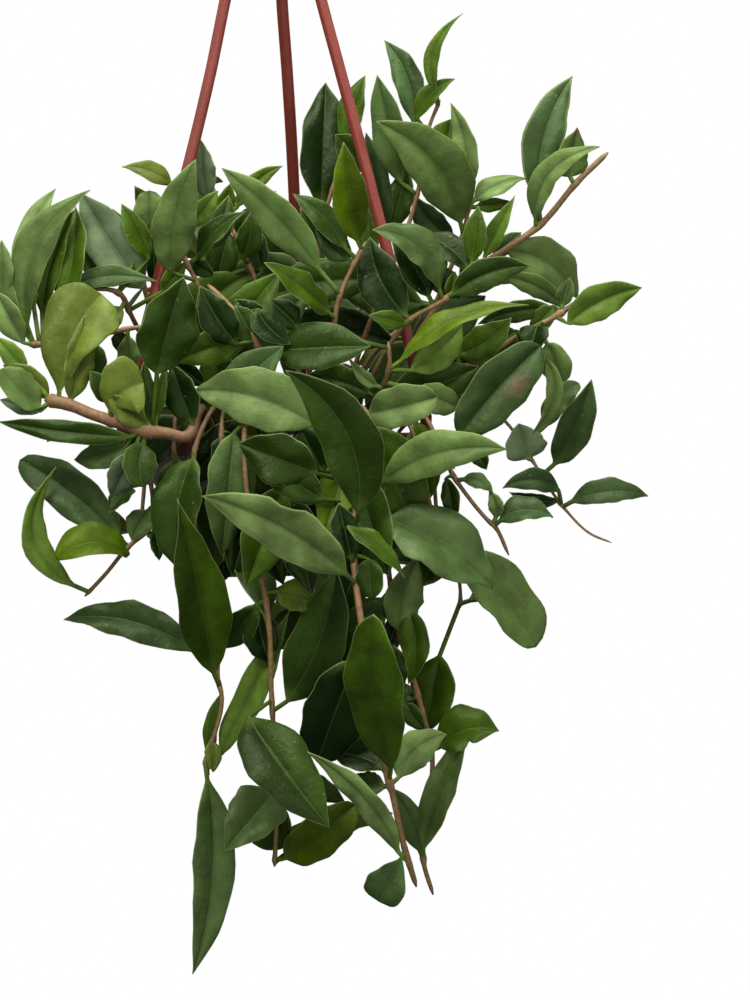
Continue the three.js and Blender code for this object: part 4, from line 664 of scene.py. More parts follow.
def waxy_leaf(look):
    """A fleshy leaf under a waxy cuticle: satin, with broad soft lights and a pale thin margin."""
    material, tree, shader = new_material("leaf_waxy_cuticle")
    tint, rib, edge = (
        add_node(tree, "ShaderNodeAttribute", attribute_name=name)
        for name in ("tint", "rib", "edge")
    )
    place = add_node(tree, "ShaderNodeTexCoord").outputs["Object"]
    # Clouds of about 9 mm where the flesh is fuller, cells of about 1 mm under the wax, and
    # grains of about 2 mm in the wax.
    cloud, cells, grains = (
        add_node(
            tree, "ShaderNodeTexNoise",
            {"Vector": place, "Scale": 1 / (width * MM), "Detail": detail},
        )
        for width, detail in ((9, 3.0), (1.3, 4.0), (2.4, 5.0))
    )
    skin = mottled(tree, tint.outputs["Color"], cloud, 0.72, 1.28)
    # The midrib is a sunk line: a groove about 1.6 mm wide darkened with painted shade, with a
    # paler thread in it.
    skin = overlaid(
        tree, skin, rib.outputs["Fac"], (0.25, 1.0), (0.26, 0.0), "#16260c", "SMOOTHSTEP"
    )
    skin = overlaid(tree, skin, rib.outputs["Fac"], (0.08, 0.3), (0.12, 0.0), "#7d9150")
    margin = (0.35 * look.margin / MM, 1.15 * look.margin / MM)
    skin = overlaid(
        tree, skin, edge.outputs["Fac"], margin, (0.42, 0.0), "#8f9f5e", "SMOOTHSTEP"
    )
    # Corky specks, one every few centimetres.
    speck = add_node(
        tree, "ShaderNodeTexVoronoi", {"Vector": place, "Scale": 1 / (8 * MM), "Randomness": 1.0}
    )
    skin = overlaid(
        tree, skin, speck.outputs["Distance"], (0.03, 0.075), (0.55, 0.0), "#7a7a4a"
    )
    tree.links.new(skin, shader.inputs["Base Color"])
    wax = add_node(
        tree, "ShaderNodeMapRange",
        {"Value": grains.outputs["Fac"], **NOISE_SPAN, "To Min": 0.36, "To Max": 0.5},
    )
    tree.links.new(wax.outputs["Result"], shader.inputs["Roughness"])
    embossed(tree, shader, (cells, 0.4, 0.4 * MM), (cloud, 0.34, 2.4 * MM))
    shader.inputs["IOR"].default_value = 1.45
    shader.inputs["Specular IOR Level"].default_value = 0.24
    shader.inputs["Specular Tint"].default_value = (0.86, 1.0, 0.55, 1)
    return material


def stem_skin():
    """Thin corky bark on a soft stem: dull, in streaks of 1.6 mm and mossy patches of 7 mm."""
    material, tree, shader = new_material("stem_corky_bark")
    tint = add_node(tree, "ShaderNodeAttribute", attribute_name="tint")
    place = add_node(tree, "ShaderNodeTexCoord").outputs["Object"]
    streak, patch = (
        add_node(
            tree, "ShaderNodeTexNoise",
            {"Vector": place, "Scale": 1 / (width * MM), "Detail": detail},
        )
        for width, detail in ((1.6, 4.0), (7, 2.0))
    )
    skin = mottled(tree, tint.outputs["Color"], streak, 0.65, 1.25)
    skin = overlaid(tree, skin, patch.outputs["Fac"], (0.5, 0.72), (0.0, 0.25), "#5b5f33")
    tree.links.new(skin, shader.inputs["Base Color"])
    embossed(tree, shader, (streak, 0.5, 0.35 * MM))
    shader.inputs["Roughness"].default_value = 0.62
    return material


def moulded_plastic(name, base, speck):
    """Injection-moulded polypropylene: matt and even, with faint specks and a spark finish."""
    material, tree, shader = new_material(name)
    place = add_node(tree, "ShaderNodeTexCoord").outputs["Object"]
    # Clouds in the colour, dusty specks, and a spark-eroded grain drawn 0.5 mm coarse to show.
    cloud, specks, spark = (
        add_node(
            tree, "ShaderNodeTexNoise", {"Vector": place, "Scale": 1 / width, "Detail": detail}
        )
        for width, detail in ((14 * MM, 4.0), (speck, 3.0), (0.5 * MM, 2.0))
    )
    skin = mottled(tree, tuple(base), cloud, 0.88, 1.1)
    skin = overlaid(tree, skin, specks.outputs["Fac"], (0.6, 0.74), (0.0, 0.22), "#a9806c")
    tree.links.new(skin, shader.inputs["Base Color"])
    rough = add_node(
        tree, "ShaderNodeMapRange",
        {"Value": specks.outputs["Fac"], **NOISE_SPAN, "To Min": 0.38, "To Max": 0.5},
    )
    tree.links.new(rough.outputs["Result"], shader.inputs["Roughness"])
    embossed(tree, shader, (spark, 0.18, 0.12 * MM))
    return material


def damp_peat(look):
    """Damp peat and bark: nearly black, rough, in grains of 1.5 mm with drier patches of 11 mm."""
    material, tree, shader = new_material("soil_damp_peat")
    place = add_node(tree, "ShaderNodeTexCoord").outputs["Object"]
    grain, patch = (
        add_node(
            tree, "ShaderNodeTexNoise",
            {"Vector": place, "Scale": 1 / (width * MM), "Detail": detail},
        )
        for width, detail in ((1.5, 6.0), (11, 2.0))
    )
    skin = mottled(tree, tuple(look.peat), grain, 0.45, 1.7)
    skin = overlaid(tree, skin, patch.outputs["Fac"], (0.5, 0.7), (0.0, 0.5), "#4a3a2b")
    tree.links.new(skin, shader.inputs["Base Color"])
    embossed(tree, shader, (grain, 0.8, 0.9 * MM))
    shader.inputs["Roughness"].default_value = 0.9
    return material


def shown(name, mesh, materials, replaced, corner=None):
    """Puts a finished mesh in the scene in place of its solid, with corners from an angle up."""
    piece = bpy.data.objects.new(name, mesh)
    bpy.context.scene.collection.objects.link(piece)
    for material in materials:
        mesh.materials.append(material)
    mesh.shade_smooth()
    if corner:
        mesh.set_sharp_from_angle(angle=math.radians(corner))
    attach(piece, "root")
    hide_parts(replaced)
    return piece


def around(r, turn, z):
    """A point at a radius and a turn about the upright axis."""
    return Vector((r * math.cos(turn), r * math.sin(turn), z))


def square_to(way, side):
    """The direction square to way that is nearest to side."""
    return (side - way * side.dot(way)).normalized()


def bridge(low, high, count):
    """The faces between two rings of points, given by their first numbers."""
    turns = [(k, (k + 1) % count) for k in range(count)]
    return [(low + k, low + n, high + n, high + k) for k, n in turns]


def closed(starts, count):
    """The faces of a skin over a run of rings, with its ends filled."""
    faces = []
    for low, high in zip(starts, starts[1:]):
        faces += bridge(low, high, count)
    faces.append(tuple(reversed(range(starts[0], starts[0] + count))))
    faces.append(tuple(range(starts[-1], starts[-1] + count)))
    return faces


def lathed(profile, sides):
    """The points and faces of a skin turned about the upright axis from its outline."""
    points = []
    faces = []
    before = None
    for r, z in profile:
        start = len(points)
        points += [placed(around(r, 2 * math.pi * k / sides, z)) for k in range(sides if r else 1)]
        if before is not None:
            if not before_r:
                faces += [(before, start + (k + 1) % sides, start + k) for k in range(sides)]
            elif not r:
                faces += [(before + k, before + (k + 1) % sides, start) for k in range(sides)]
            else:
                faces += bridge(before, start, sides)
        before, before_r = start, r
    return points, faces


def rounded(profile, reach):
    """An outline with each corner replaced by a short arc."""
    out = [profile[0]]
    for before, corner, after in zip(profile, profile[1:], profile[2:]):
        a, p, b = (Vector(q) for q in (before, corner, after))
        near = min(reach, 0.4 * (p - a).length, 0.4 * (b - p).length)
        start = p + near * (a - p).normalized()
        end = p + near * (b - p).normalized()
        for t in (0, 0.25, 0.5, 0.75, 1):
            q = (1 - t) ** 2 * start + 2 * t * (1 - t) * p + t * t * end
            out.append((q.x, q.y))
    out.append(profile[-1])
    return out


def skinned(name, points, faces):
    """A mesh of closed skins, with every face turned to look out of its skin."""
    mesh = bpy.data.meshes.new(name)
    mesh.from_pydata(points, [], faces)
    work = bmesh.new()
    work.from_mesh(mesh)
    bmesh.ops.recalc_face_normals(work, faces=work.faces)
    work.to_mesh(mesh)
    work.free()
    return mesh


def flow(path):
    """The directions in which a smooth line passes its points."""
    ways = []
    for i, p in enumerate(path):
        before = (p - path[i - 1]).normalized() if i else Vector()
        after = (path[i + 1] - p).normalized() if i + 1 < len(path) else Vector()
        ways.append((before + after).normalized())
    return ways


def smooth_point(path, ways, n, t):
    """A point of the smooth line through path, and its direction, on span n at share t."""
    a, b = path[n], path[n + 1]
    span = (b - a).length
    t2, t3 = t * t, t * t * t
    point = (
        (2 * t3 - 3 * t2 + 1) * a + (t3 - 2 * t2 + t) * span * ways[n]
        + (3 * t2 - 2 * t3) * b + (t3 - t2) * span * ways[n + 1]
    )
    way = (
        (6 * t2 - 6 * t) * a + (3 * t2 - 4 * t + 1) * span * ways[n]
        + (6 * t - 6 * t2) * b + (3 * t2 - 2 * t) * span * ways[n + 1]
    )
    return point, way.normalized()


def sampled(path, step):
    """A smooth line through path as (point, direction, span number and share) every step."""
    ways = flow(path)
    out = []
    for n in range(len(path) - 1):
        count = max(1, round((path[n + 1] - path[n]).length / step))
        for m in range(count):
            out.append((*smooth_point(path, ways, n, m / count), n + m / count))
    out.append((*smooth_point(path, ways, len(path) - 2, 1), len(path) - 1))
    return out


def swept(points, faces, line, section, side):
    """Sweeps a closed section along a line of (point, direction); side keeps its turn."""
    starts = []
    for i, (p, way) in enumerate(line):
        side = square_to(way, side)
        out = side.cross(way)
        starts.append(len(points))
        points += [placed(p + side * u + out * w) for u, w in section(i)]
    faces += closed(starts, len(section(0)))


class HANGINGPLANT_OT_pot(bpy.types.Operator):
    """Turns the pot with its lip, foot and drain holes"""

    bl_idname = "hanging_plant.pot"
    bl_label = "Pot"

    def execute(self, context):
        look = context.scene.hanging_pot
        low = RIM_TOP - LIP_DEPTH
        inside = POT_BOTTOM + FOOT_H + FLOOR
        profile = [
            (0, POT_BOTTOM + FOOT_H), (DRAIN_RING_R - 9, POT_BOTTOM + FOOT_H),
            (DRAIN_RING_R + 9, POT_BOTTOM + FOOT_H), (BASE_R - 5, POT_BOTTOM + FOOT_H),
            (BASE_R - 4, POT_BOTTOM), (BASE_R, POT_BOTTOM), WAIST, SHOULDER,
            (MOUTH_R, RIM_TOP - 1.5), (LIP_R - 1.5, RIM_TOP - 1.5), (LIP_R - 1.3, low),
            (LIP_R, low), (LIP_R, RIM_TOP - 1), (LIP_R - 1, RIM_TOP), (MOUTH_R - 0.4, RIM_TOP),
            (SHOULDER[0] - WALL, SHOULDER[1]), (WAIST[0] - WALL, WAIST[1]),
            (BASE_R - 1.4, inside), (0, inside),
        ]
        blank = skinned("pot_blank", *lathed(rounded(profile, 1.1), look.sides))
        pot = bpy.data.objects.new("pot_blank", blank)
        context.scene.collection.objects.link(pot)
        for k in range(DRAINS):
            turn = 2 * math.pi * k / DRAINS
            bpy.ops.mesh.primitive_cylinder_add(
                vertices=DRAIN_SIDES, radius=DRAIN_R * MM, depth=DRILL_LENGTH * MM,
                location=placed(around(DRAIN_RING_R, turn, POT_BOTTOM + DRILL_RISE)),
            )
            drill = context.object
            cut = pot.modifiers.new("drain", "BOOLEAN")
            cut.operation = "DIFFERENCE"
            cut.solver = "EXACT"
            cut.object = drill
            drilled = pot.evaluated_get(context.evaluated_depsgraph_get())
            done = bpy.data.meshes.new_from_object(drilled)
            pot.modifiers.clear()
            pot.data = done
            bpy.data.objects.remove(drill)
        mesh = pot.data
        bpy.data.objects.remove(pot)
        # The pot's plastic is painted darker than the hanger's: painted shade.
        plastic = moulded_plastic("pot_polypropylene_painted_shade", look.plastic, look.speckle)
        shown("pot_bowl", mesh, [plastic], "pot", 38)
        return {"FINISHED"}


class HANGINGPLANT_OT_hook(bpy.types.Operator):
    """Moulds the hub and its open hook in one piece"""

    bl_idname = "hanging_plant.hook"
    bl_label = "Hub and hook"

    def execute(self, context):
        look = context.scene.hanging_pot
        points, faces = lathed(
            rounded(
                [
                    (0, HUB_BOTTOM), (HUB_R - 1, HUB_BOTTOM), (HUB_R, HUB_BOTTOM + 1.5),
                    (HUB_R, HUB_SHOULDER), (HUB_R - 1.5, HUB_SHOULDER + 2), (HUB_NECK_R, HUB_TOP),
                    (0, HUB_TOP),
                ],
                0.9,
            ),
            HUB_SIDES,
        )
        path = sampled([Vector((x, 0, z)) for x, z in HOOK_PATH], HOOK_STEP)
        last = len(path) - 1

        def section(i):
            r = HOOK_R * min(1.0, 0.45 + 0.25 * (last - i))
            turns = (2 * math.pi * k / HOOK_SIDES for k in range(HOOK_SIDES))
            return [(r * math.cos(a), r * math.sin(a)) for a in turns]

        swept(points, faces, [(p, way) for p, way, _ in path], section, Vector((0, 1, 0)))
        mesh = skinned("hub_and_hook", points, faces)
        plastic = moulded_plastic("hook_moulded_polypropylene", look.arm_plastic, look.speckle)
        shown("hanger_hub_and_hook", mesh, [plastic], "hanger_hook", 38)
        return {"FINISHED"}


class HANGINGPLANT_OT_arms(bpy.types.Operator):
    """Draws the three ribbed arms from the pot's lip to the hub"""

    bl_idname = "hanging_plant.arms"
    bl_label = "Arms"

    def execute(self, context):
        look = context.scene.hanging_pot
        plastic = moulded_plastic("arm_moulded_polypropylene", look.arm_plastic, look.speckle)
        for k, name in enumerate(ARM_NAMES):
            turn = math.radians(ARM_FIRST_DEG + 120 * k)
            path = [around(r, turn, z) for r, z in ARM_PATH]
            across = Vector((-math.sin(turn), math.cos(turn), 0))
            points = []
            faces = []
            line = []
            for p, way, at in sampled(path, ARM_STEP):
                given = ARM_BENDS[k] * math.sin(math.pi * smooth(4, len(path) - 1, at))
                line.append((p + Vector((given, 0, 0)), way))
            swept(points, faces, line, lambda i: ARM_SECTION, across)
            shown(
                f"hanger_arm_{name}_ribbed", skinned(f"arm_{name}", points, faces), [plastic],
                f"hanger_arm_{name}", 50
            )
        return {"FINISHED"}


class HANGINGPLANT_OT_soil(bpy.types.Operator):
    """Fills the pot with crumbly peat"""

    bl_idname = "hanging_plant.soil"
    bl_label = "Soil"

    def execute(self, context):
        look = context.scene.hanging_soil
        share = (SOIL_EDGE - WAIST[1]) / (SHOULDER[1] - WAIST[1])
        edge = mixed(WAIST[0], SHOULDER[0], share) - WALL - 0.5
        inside = POT_BOTTOM + FOOT_H + FLOOR + 0.4
        top = []
        for m in range(SOIL_RINGS):
            r = edge * (1 - m / SOIL_RINGS)
            if r > SOIL_FLAT_R:
                out = (r - SOIL_FLAT_R) / (edge - SOIL_FLAT_R)
                top.append((r, SOIL_CROWN - 0.8 + (SOIL_EDGE - SOIL_CROWN) * out))
            else:
                top.append((r, mixed(SOIL_CROWN, SOIL_CROWN - 0.8, r / SOIL_FLAT_R)))
        points, faces = lathed(
            [(0, inside), (BASE_R - 2, inside), (WAIST[0] - WALL - 0.6, WAIST[1]), *top,
             (0, SOIL_CROWN)],
            SOIL_SIDES,
        )
        for point in points:
            if point.z > (SOIL_EDGE - 1 - HANG) * MM:
                p = point / MM
                rough = 1.5 * noise.noise(p * 0.21) + 1.1 * noise.noise(p * 0.6)
                point.z += MM * (rough - 0.4) * min(1, (edge - p.xy.length) / 3 + 0.2)
        rng = random.Random(SEED)
        for _ in range(look.crumbs):
            turn = rng.uniform(0, 2 * math.pi)
            r = (edge - 2.5) * math.sqrt(rng.random())
            size = look.crumb / MM * rng.uniform(0.25, 0.75)
            level = mixed(SOIL_CROWN, SOIL_EDGE, smooth(30, edge, r)) - 0.1
            middle = around(r, turn, level)
            crumb = bmesh.new()
            bmesh.ops.create_icosphere(crumb, subdivisions=1, radius=1)
            start = len(points)
            stretch = Vector(rng.uniform(*span) for span in CRUMB_STRETCH)
            spin = rng.uniform(0, math.pi)
            cos, sin = math.cos(spin), math.sin(spin)
            for v in crumb.verts:
                q = Vector(v.co[i] * stretch[i] for i in range(3)) * size * rng.uniform(0.75, 1.2)
                q = Vector((q.x * cos - q.y * sin, q.x * sin + q.y * cos, q.z))
                points.append(placed(middle + q))
            faces += [tuple(start + v.index for v in f.verts) for f in crumb.faces]
            crumb.free()
        mesh = skinned("soil", points, faces)
        shown("soil_peat", mesh, [damp_peat(look)], "soil", 50)
        return {"FINISHED"}


class Stem:
    """A stem's way through the air, its solid's points, and the leaves found on it."""

    def __init__(self, name, spot, path, thick, thin):
        self.name = name
        self.path = path
        self.thick = thick
        self.thin = thin
        low = SOIL_CROWN - 2
        foot = [
            Vector((spot[0], spot[1], z)) for z in (low - HOLE_DEPTH + 0.4, low + 6)
        ]
        shifts = EASED.get(name, ())
        eased = [p + Vector((*shift, 0)) for p, shift in zip(path, shifts)]
        self.way = foot + [leaned(p) for p in eased + path[len(shifts):]]
        self.ways = flow(self.way)
        self.leaves = []
        corners = NODES["stem_" + name].data.vertices
        self.tree = kdtree.KDTree(len(corners))
        for i, v in enumerate(corners):
            self.tree.insert(v.co, i)
        self.tree.balance()

    def has(self, p):
        """Whether the solid has a corner at a point of the crown."""
        _, _, gap = self.tree.find(placed(leaned(p)))
        return gap < 0.02 * MM

    def ends_at(self, p, radius):
        """Whether the solid's tube ends round a point of the crown."""
        found = self.tree.find_range(placed(leaned(p)), (radius + 0.02) * MM)
        return sum(abs(gap - radius * MM) < 0.02 * MM for _, _, gap in found) >= 4


def root_on(path, x, z):
    """The span, share and point of a path nearest to x z from the front."""
    best = None
    least = math.inf
    for i in range(1, len(path)):
        a, b = path[i - 1], path[i]
        dx, dz = b.x - a.x, b.z - a.z
        t = ((x - a.x) * dx + (z - a.z) * dz) / (dx * dx + dz * dz)
        most = 1 - SHORTEST / (b - a).length if i == len(path) - 1 else 1
        t = min(max(t, 0), most)
        p = a.lerp(b, t)
        gap = math.hypot(p.x - x, p.z - z)
        if gap < least:
            least = gap
            best = (i - 1, t, p)
    return best


def along_path(path, share):
    """The span, share and point at a share of a path's length, measured in 200 even steps."""
    spans = [(b - a).length for a, b in zip(path, path[1:])]
    total = sum(spans)

    def at(t):
        left = t * total
        for n, span in enumerate(spans):
            if left <= span or n == len(spans) - 1:
                part = min(left / span, 1)
                return n, part, path[n].lerp(path[n + 1], part)
            left -= span

    steps = [at(i / 200)[2] for i in range(201)]
    lengths = [0.0]
    for a, b in zip(steps, steps[1:]):
        lengths.append(lengths[-1] + (b - a).length)
    goal = share * lengths[-1]
    i = 0
    while i < 199 and lengths[i + 1] <= goal:
        i += 1
    return at((i + (goal - lengths[i]) / (lengths[i + 1] - lengths[i])) / 200)


def hand_leaves(stems):
    """Finds the drawn lean, roll and arch of each listed leaf from its tip in the solids."""
    for i, row in enumerate(LEAVES):
        tone, name, x0, z0, x1, z1, width, bow, lean, form = row[:10]
        petiole = row[10] if len(row) > 10 else 0.08
        stem = stems[name]
        n, t, root = root_on(stem.path, x0, z0)
        reach = math.hypot(x1 - x0, z1 - z0)
        for k in range(TRIES):
            foot = Vector((x0, root.y + 0.05 * k * (2 * draw(i, k, 0) - 1), z0))
            rise = reach * (1.4 * lean + (0.35 + 0.01 * k) * (2 * draw(i, k, 1) - 1))
            tip = Vector((x1, foot.y + rise, z1))
            if not stem.has(tip):
                continue
            roll = -0.35 * (x1 - x0) / reach + (0.5 + 0.002 * k) * (2 * draw(i, k, 2) - 1)
            marks = MARKED.get(i, {})
            foot_x, foot_z = marks.get("foot", (0, 0))
            tip_x, tip_z = marks.get("tip", (0, 0))
            back = marks.get("back", 0)
            stem.leaves.append({
                **marks, "root": (n, t), "foot": foot + Vector((foot_x, back, foot_z)),
                "tip": tip + Vector((tip_x, back, tip_z)), "facing": Vector((0, -1, 0)),
                "form": marks.get("form", form),
                "width": (1 - 0.002 * k) * width / math.cos(roll) * marks.get("wide", 1),
                "bow": bow + marks.get("bend", 0), "roll": roll,
                "arch": 0.05 + (0.04 + 0.001 * k) * (2 * draw(i, k, 3) - 1), "petiole": petiole,
                "tone": tone, "key": i, "fine": True, "foot_moved": "foot" in marks,
            })
            break
        else:
            raise RuntimeError(f"no tip in the solids for leaf {i} of {name}")


def filler_leaves(stems):
    """Grows the leaves that fill the gaps between the solids' leaves."""
    for key, row in enumerate(FILLERS, FILLER_KEY):
        tone, name, x0, z0, x1, z1, width, bow, back = row
        stem = stems[name]
        n, t, root = root_on(stem.path, x0, z0)
        rise = 5 * (draw(key, 0) - 0.5)
        stem.leaves.append({
            "root": (n, t), "foot": Vector((x0, root.y + back, z0)),
            "tip": Vector((x1, root.y + back + rise, z1)), "facing": Vector((0, -1, 0.1)),
            "form": "a", "width": width, "bow": bow, "roll": 0.5 * (draw(key, 1) - 0.5),
            "arch": 0.02 + 0.06 * draw(key, 2), "petiole": 0.06, "tone": tone, "key": key,
            "fine": True, "foot_moved": True,
        })


def rule_tone(*key):
    """A tone for a leaf placed by rule: mostly dark, as painted shade inside the crown, some in
    the middle, a few grey-green.
    """
    pick = draw(*key, TONE_DRAW)
    for share, tone in ((0.22, "K"), (0.6, "D"), (0.74, "N"), (0.92, "M")):
        if pick < share:
            return tone
    return "S"


def front_leaves(stems):
    """Finds the leaves that the solids add along the front stems."""
    for i, stem in enumerate(stems.values()):
        total = sum((b - a).length for a, b in zip(stem.path, stem.path[1:]))
        places = math.floor(total / FRONT_STEP)
        for j in range(1, places + 1):
            n, t, root = along_path(stem.path, (j - 0.5) / places)
            for k in range(FRONT_TRIES):
                key = (FRONT_DRAW + i, j, k)
                turn = 2 * math.pi * draw(*key, 0)
                way = Vector((
                    math.cos(turn), 0.36 * (draw(*key, 1) - 0.45), math.sin(turn)
                )).normalized()
                reach = 36 + 22 * draw(*key, 2)
                tip = root + way * reach
                if not stem.has(tip):
                    continue
                stem.leaves.append({
                    "root": (n, t), "foot": root + way * 0.5, "tip": tip,
                    "facing": Vector((0.4 * (draw(*key, 3) - 0.5), -1, 0.3 * draw(*key, 4))),
                    "form": "a", "width": reach * (0.38 + 0.12 * draw(*key, 5)),
                    "bow": 0.16 * (draw(*key, 6) - 0.5), "roll": 0.3 * (draw(*key, 7) - 0.5),
                    "arch": 0.01 + 0.06 * draw(*key, 8), "petiole": 0.1,
                    "tone": rule_tone(*key), "key": FRONT_KEY + 40 * i + j,
                })
                break


def fill_path(i, k):
    """The spot and the way of a back stem's k-th try."""
    hangs = i % 2 == 0
    part = (i + 0.2 + 0.6 * draw(i, k, 0)) / FILL_STEMS
    out = math.radians(FILL_FIRST_DEG + FILL_SPAN_DEG * part)
    start = 18 + 25 * draw(i, k, 1) if hangs else 6 + 26 * draw(i, k, 1)
    turn = math.radians(24 + 10 * draw(i, k, 2) if hangs else 6 + 9 * draw(i, k, 2))
    least = math.radians(-84 if hangs else 12)
    steps = 8 + math.floor(6 * draw(i, k, 3)) if hangs else 5 + math.floor(4 * draw(i, k, 3))
    spot = Vector((start * math.cos(out), start * math.sin(out), 0))
    at = spot.copy()
    path = []
    for n in range(1, steps + 1):
        climb = max(math.pi / 2 - turn * n, least)
        way = out + 0.5 * (draw(i, k, 3 + n) - 0.5)
        at = at + FILL_STEP * Vector((
            math.cos(climb) * math.cos(way), math.cos(climb) * math.sin(way), math.sin(climb)
        ))
        path.append(at)
    return spot, path


def back_stems():
    """The stems that the solids draw for the back and the sides."""
    found = {}
    for i in range(FILL_STEMS):
        name = f"back_{i + 1}"
        if "stem_" + name not in NODES:
            continue
        for k in range(FILL_TRIES):
            spot, path = fill_path(i, k)
            stem = Stem(name, spot, path, 1.5, 1)
            if stem.ends_at(path[-1], 1):
                found[name] = stem
                break
        else:
            raise RuntimeError(f"no way in the solids for stem {name}")
    return found


def clothing_leaves(stem, number, step, each, spread):
    """Finds the leaves that the solids turn around a stem, from its tip down."""
    path = stem.path
    spans = [(b - a).length for a, b in zip(path, path[1:])]
    total = sum(spans)
    j = 0
    while 1.5 + j * step < total - 10:
        left = 1.5 + j * step
        n = len(spans) - 1
        while left > spans[n]:
            left -= spans[n]
            n -= 1
        a, b = path[n], path[n + 1]
        root = b.lerp(a, left / spans[n])
        along = (b - a).normalized()
        out = Vector((root.x, root.y, 0)).normalized()
        across = along.cross(out).normalized()
        behind = across.cross(along)
        for pair in range(each):
            for k in range(FILL_TRIES):
                key = (CLOTHING_DRAW + number, j, pair, k)
                loose = (spread + 0.02 * k) * (2 * draw(*key, 0) - 1)
                turn = ((j % 2) / 2 + pair) * math.pi + loose
                way = (
                    across * math.cos(turn) + behind * math.sin(turn)
                    + along * (0.25 + 0.5 * draw(*key, 1)) + UP * (0.1 + 0.7 * draw(*key, 2))
                    + out * 0.35 * draw(*key, 3)
                ).normalized()
                reach = (52 + 20 * draw(*key, 4)) * (1 - 0.004 * k)
                tip = root + way * (0.5 + reach)
                if not stem.has(tip):
                    continue
                stem.leaves.append({
                    "root": (n, 1 - left / spans[n]), "foot": root + way * 0.5, "tip": tip,
                    "facing": out * (0.7 + 0.4 * draw(*key, 5)) + UP, "form": "a",
                    "width": reach * (0.3 + 0.1 * draw(*key, 6)),
                    "bow": 0.16 * (draw(*key, 7) - 0.5), "roll": 0.7 * (draw(*key, 8) - 0.5),
                    "arch": 0.02 + 0.1 * draw(*key, 9), "petiole": 0.1,
                    "tone": rule_tone(*key), "key": CLOTHING_KEY + 60 * number + 2 * j + pair,
                })
                break
        j += 1


def grown_stems():
    """Every stem of the solids with its leaves."""
    stems = {
        name: Stem(name, spot, [Vector(p) for p in way], thick, thin)
        for name, (spot, way, thick, thin) in STEMS.items()
    }
    hand_leaves(stems)
    filler_leaves(stems)
    front_leaves(stems)
    back = back_stems()
    for i, stem in enumerate([*stems.values(), *back.values()]):
        if i < len(stems):
            clothing_leaves(stem, i, LONE_STEP, 1, 3)
        else:
            clothing_leaves(stem, i, PAIR_STEP, 2, 0.4)
    return [*stems.values(), *back.values()]


# Where a leaf's section has points, as a share of its half width from margin to margin.
FINE_ACROSS = (
    1, 0.965, 0.86, 0.66, 0.42, 0.2, 0.07, 0, -0.07, -0.2, -0.42, -0.66, -0.86, -0.965, -1,
)
ROUGH_ACROSS = (1, 0.94, 0.72, 0.4, 0.1, 0, -0.1, -0.4, -0.72, -0.94, -1)


